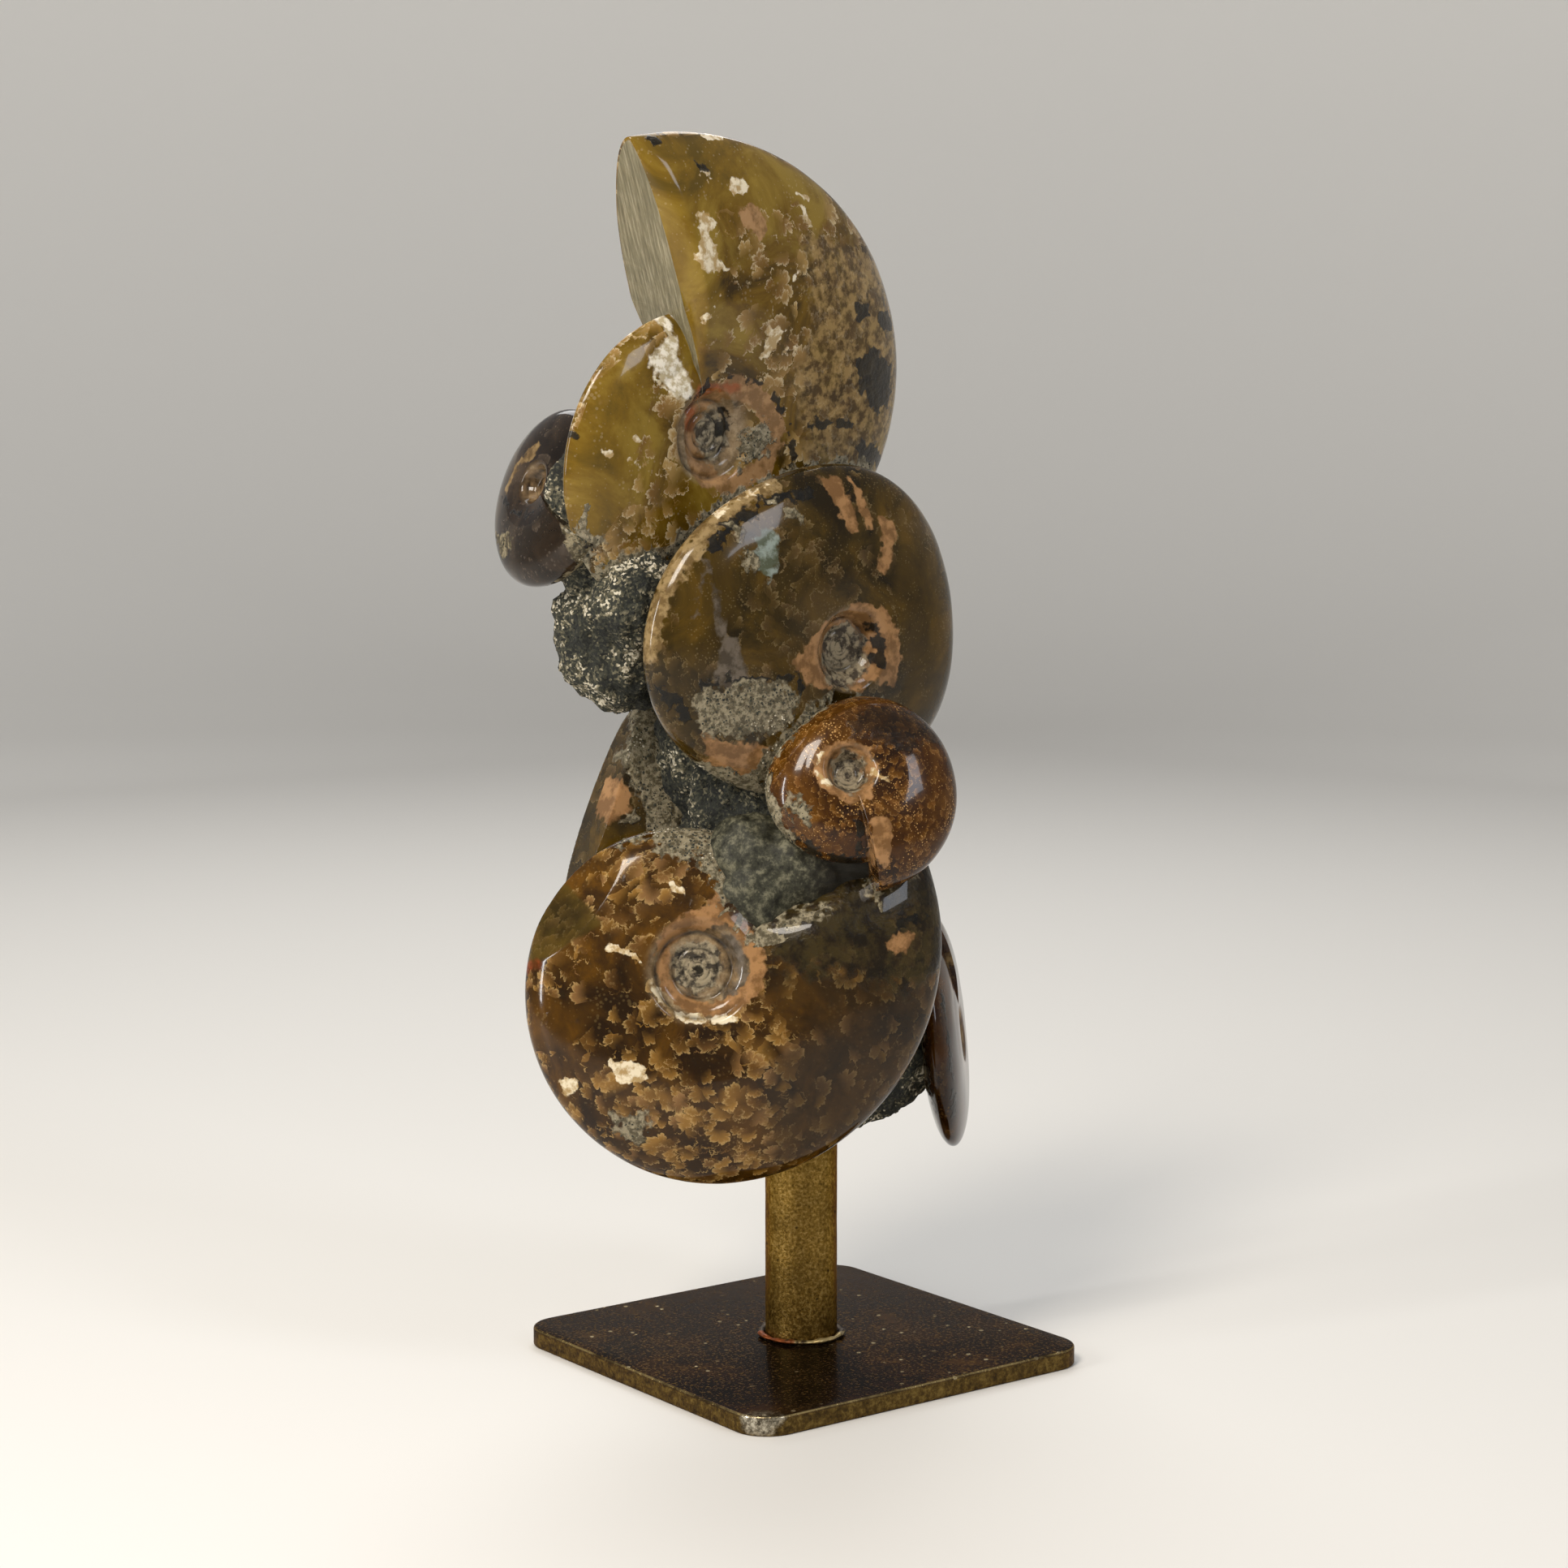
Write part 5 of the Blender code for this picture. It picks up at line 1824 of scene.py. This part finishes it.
@dataclass(frozen=True)
class Lamp:
    """A softbox.

    Attributes:
        azimuth: Where it stands round the object, in degrees, 0 in front.
        elevation: How high it stands, in degrees.
        away: Distance, in metres.
        wide: Width, in metres.
        tall: Height, in metres.
        watts: Power.
        tint: Hex code of its light.
        outward: True where it lights the wall and not the object.
    """

    azimuth: float
    elevation: float
    away: float
    wide: float
    tall: float
    watts: float
    tint: str = "#ffffff"
    outward: bool = False


@dataclass(frozen=True)
class Studio:
    """Pale floor, soft lamps and the camera.

    Attributes:
        aim: Point that the lamps look at.
        camera_at: Where the camera stands.
        azimuth: Viewing angle round the object, in degrees.
        elevation: Viewing angle above the horizon, in degrees.
        lens: Focal length in millimetres for a 36 mm wide sensor.
        lamps: The softboxes.
    """

    aim: tuple[float, float, float] = (-0.015, 0.0, 0.165)
    camera_at: tuple[float, float, float] = (-0.4609, -0.6046, 0.2238)
    azimuth: float = -36.997
    elevation: float = 6.063
    lens: float = 71.54
    lamps: tuple[Lamp, ...] = (
        Lamp(-66.0, 46.0, 1.15, 0.30, 0.42, 10.0, "#fff6ea"),
        Lamp(-95.0, 12.0, 0.95, 0.06, 0.50, 3.2, "#ffffff"),
        Lamp(14.0, 32.0, 1.3, 0.30, 0.4, 3.0, "#eef4ff"),
        Lamp(150.0, 50.0, 1.2, 0.8, 0.8, 6.0, "#ffffff"),
        Lamp(100.0, 34.0, 1.0, 0.9, 0.5, 10.0, "#ffffff", True),
        Lamp(180.0, 34.0, 1.0, 0.9, 0.5, 10.0, "#ffffff", True),
    )

    @staticmethod
    def way(azimuth: float, elevation: float) -> Vector:
        """Direction from the object towards a place in the studio."""
        a, e = math.radians(azimuth), math.radians(elevation)
        return Vector((math.sin(a) * math.cos(e), -math.cos(a) * math.cos(e), math.sin(e)))

    @staticmethod
    def floor() -> None:
        """A pale floor that curves up to a pale wall far away, as one sheet."""
        made, _, shader = shader_of("pale studio floor", Roughness=0.6)
        shader.inputs["Base Color"].default_value = colour("#e6e3dd")
        rows = [(0.0001, 0.0), (0.6, 0.0), (1.8, 0.0)]
        for step in range(1, 9):
            turn = math.radians(90.0 * step / 8)
            rows.append((1.8 + 0.9 * math.sin(turn), 0.9 * (1 - math.cos(turn))))
        shape = bmesh.new()
        rings = []
        for away, height in rows:
            ring = []
            for step in range(96):
                turn = math.tau * step / 96
                point = (away * math.cos(turn), away * math.sin(turn), height)
                ring.append(shape.verts.new(point))
            rings.append(ring)
        for lower, upper in zip(rings, rings[1:]):
            for step in range(96):
                after = (step + 1) % 96
                shape.faces.new((lower[step], lower[after], upper[after], upper[step]))
        shape.faces.new(rings[0])
        mesh = settled("studio_floor", shape)
        smooth(mesh)
        mesh.materials.append(made)
        sheet = bpy.data.objects.new("studio_floor", mesh)
        bpy.context.scene.collection.objects.link(sheet)

    def build(self) -> None:
        """Sets up the floor, the light and the camera."""
        scene = bpy.context.scene
        self.floor()
        world = bpy.data.worlds.new("studio")
        world.use_nodes = True
        world.node_tree.nodes["Background"].inputs[0].default_value = colour("#f3f4f6")
        world.node_tree.nodes["Background"].inputs[1].default_value = 0.33
        scene.world = world
        aim = Vector(self.aim)
        for index, lamp in enumerate(self.lamps):
            light = bpy.data.lights.new(f"softbox_{index}", "AREA")
            light.shape = "RECTANGLE"
            light.size, light.size_y = lamp.wide, lamp.tall
            light.energy = lamp.watts
            light.color = colour(lamp.tint)[:3]
            box = bpy.data.objects.new(f"softbox_{index}", light)
            way = self.way(lamp.azimuth, lamp.elevation)
            box.location = aim + way * lamp.away
            facing = -way if lamp.outward else way
            box.rotation_euler = facing.to_track_quat("Z", "Y").to_euler()
            box.visible_camera = False
            scene.collection.objects.link(box)
        lens = bpy.data.cameras.new("camera")
        lens.sensor_width = 36.0
        lens.lens = self.lens
        lens.clip_start, lens.clip_end = 0.01, 20.0
        camera = bpy.data.objects.new("camera", lens)
        camera.location = self.camera_at
        towards = self.way(self.azimuth, self.elevation)
        camera.rotation_euler = towards.to_track_quat("Z", "Y").to_euler()
        scene.collection.objects.link(camera)
        scene.camera = camera
        scene.view_settings.view_transform = "Standard"


def main() -> None:
    """Builds every piece, then the studio."""
    logging.basicConfig(level=logging.INFO, format="%(message)s")
    names = [shell.name for shell in SHELLS]
    coil, sand = coil_tree(), sand_tree()
    rock = Sandstone()
    grain = rock.material(grains=True)
    for shell in SHELLS:
        others = [name for name in names if name != shell.name] + ["matrix"]
        shell.build(coil, sand, grain, solid_tree(others))
    lower = next(shell for shell in SHELLS if shell.name == "ammonite_lower")
    rock.build(sand, grain, solid_tree(names), lower)
    Stand().build()
    Studio().build()


if __name__ == "__main__":
    main()
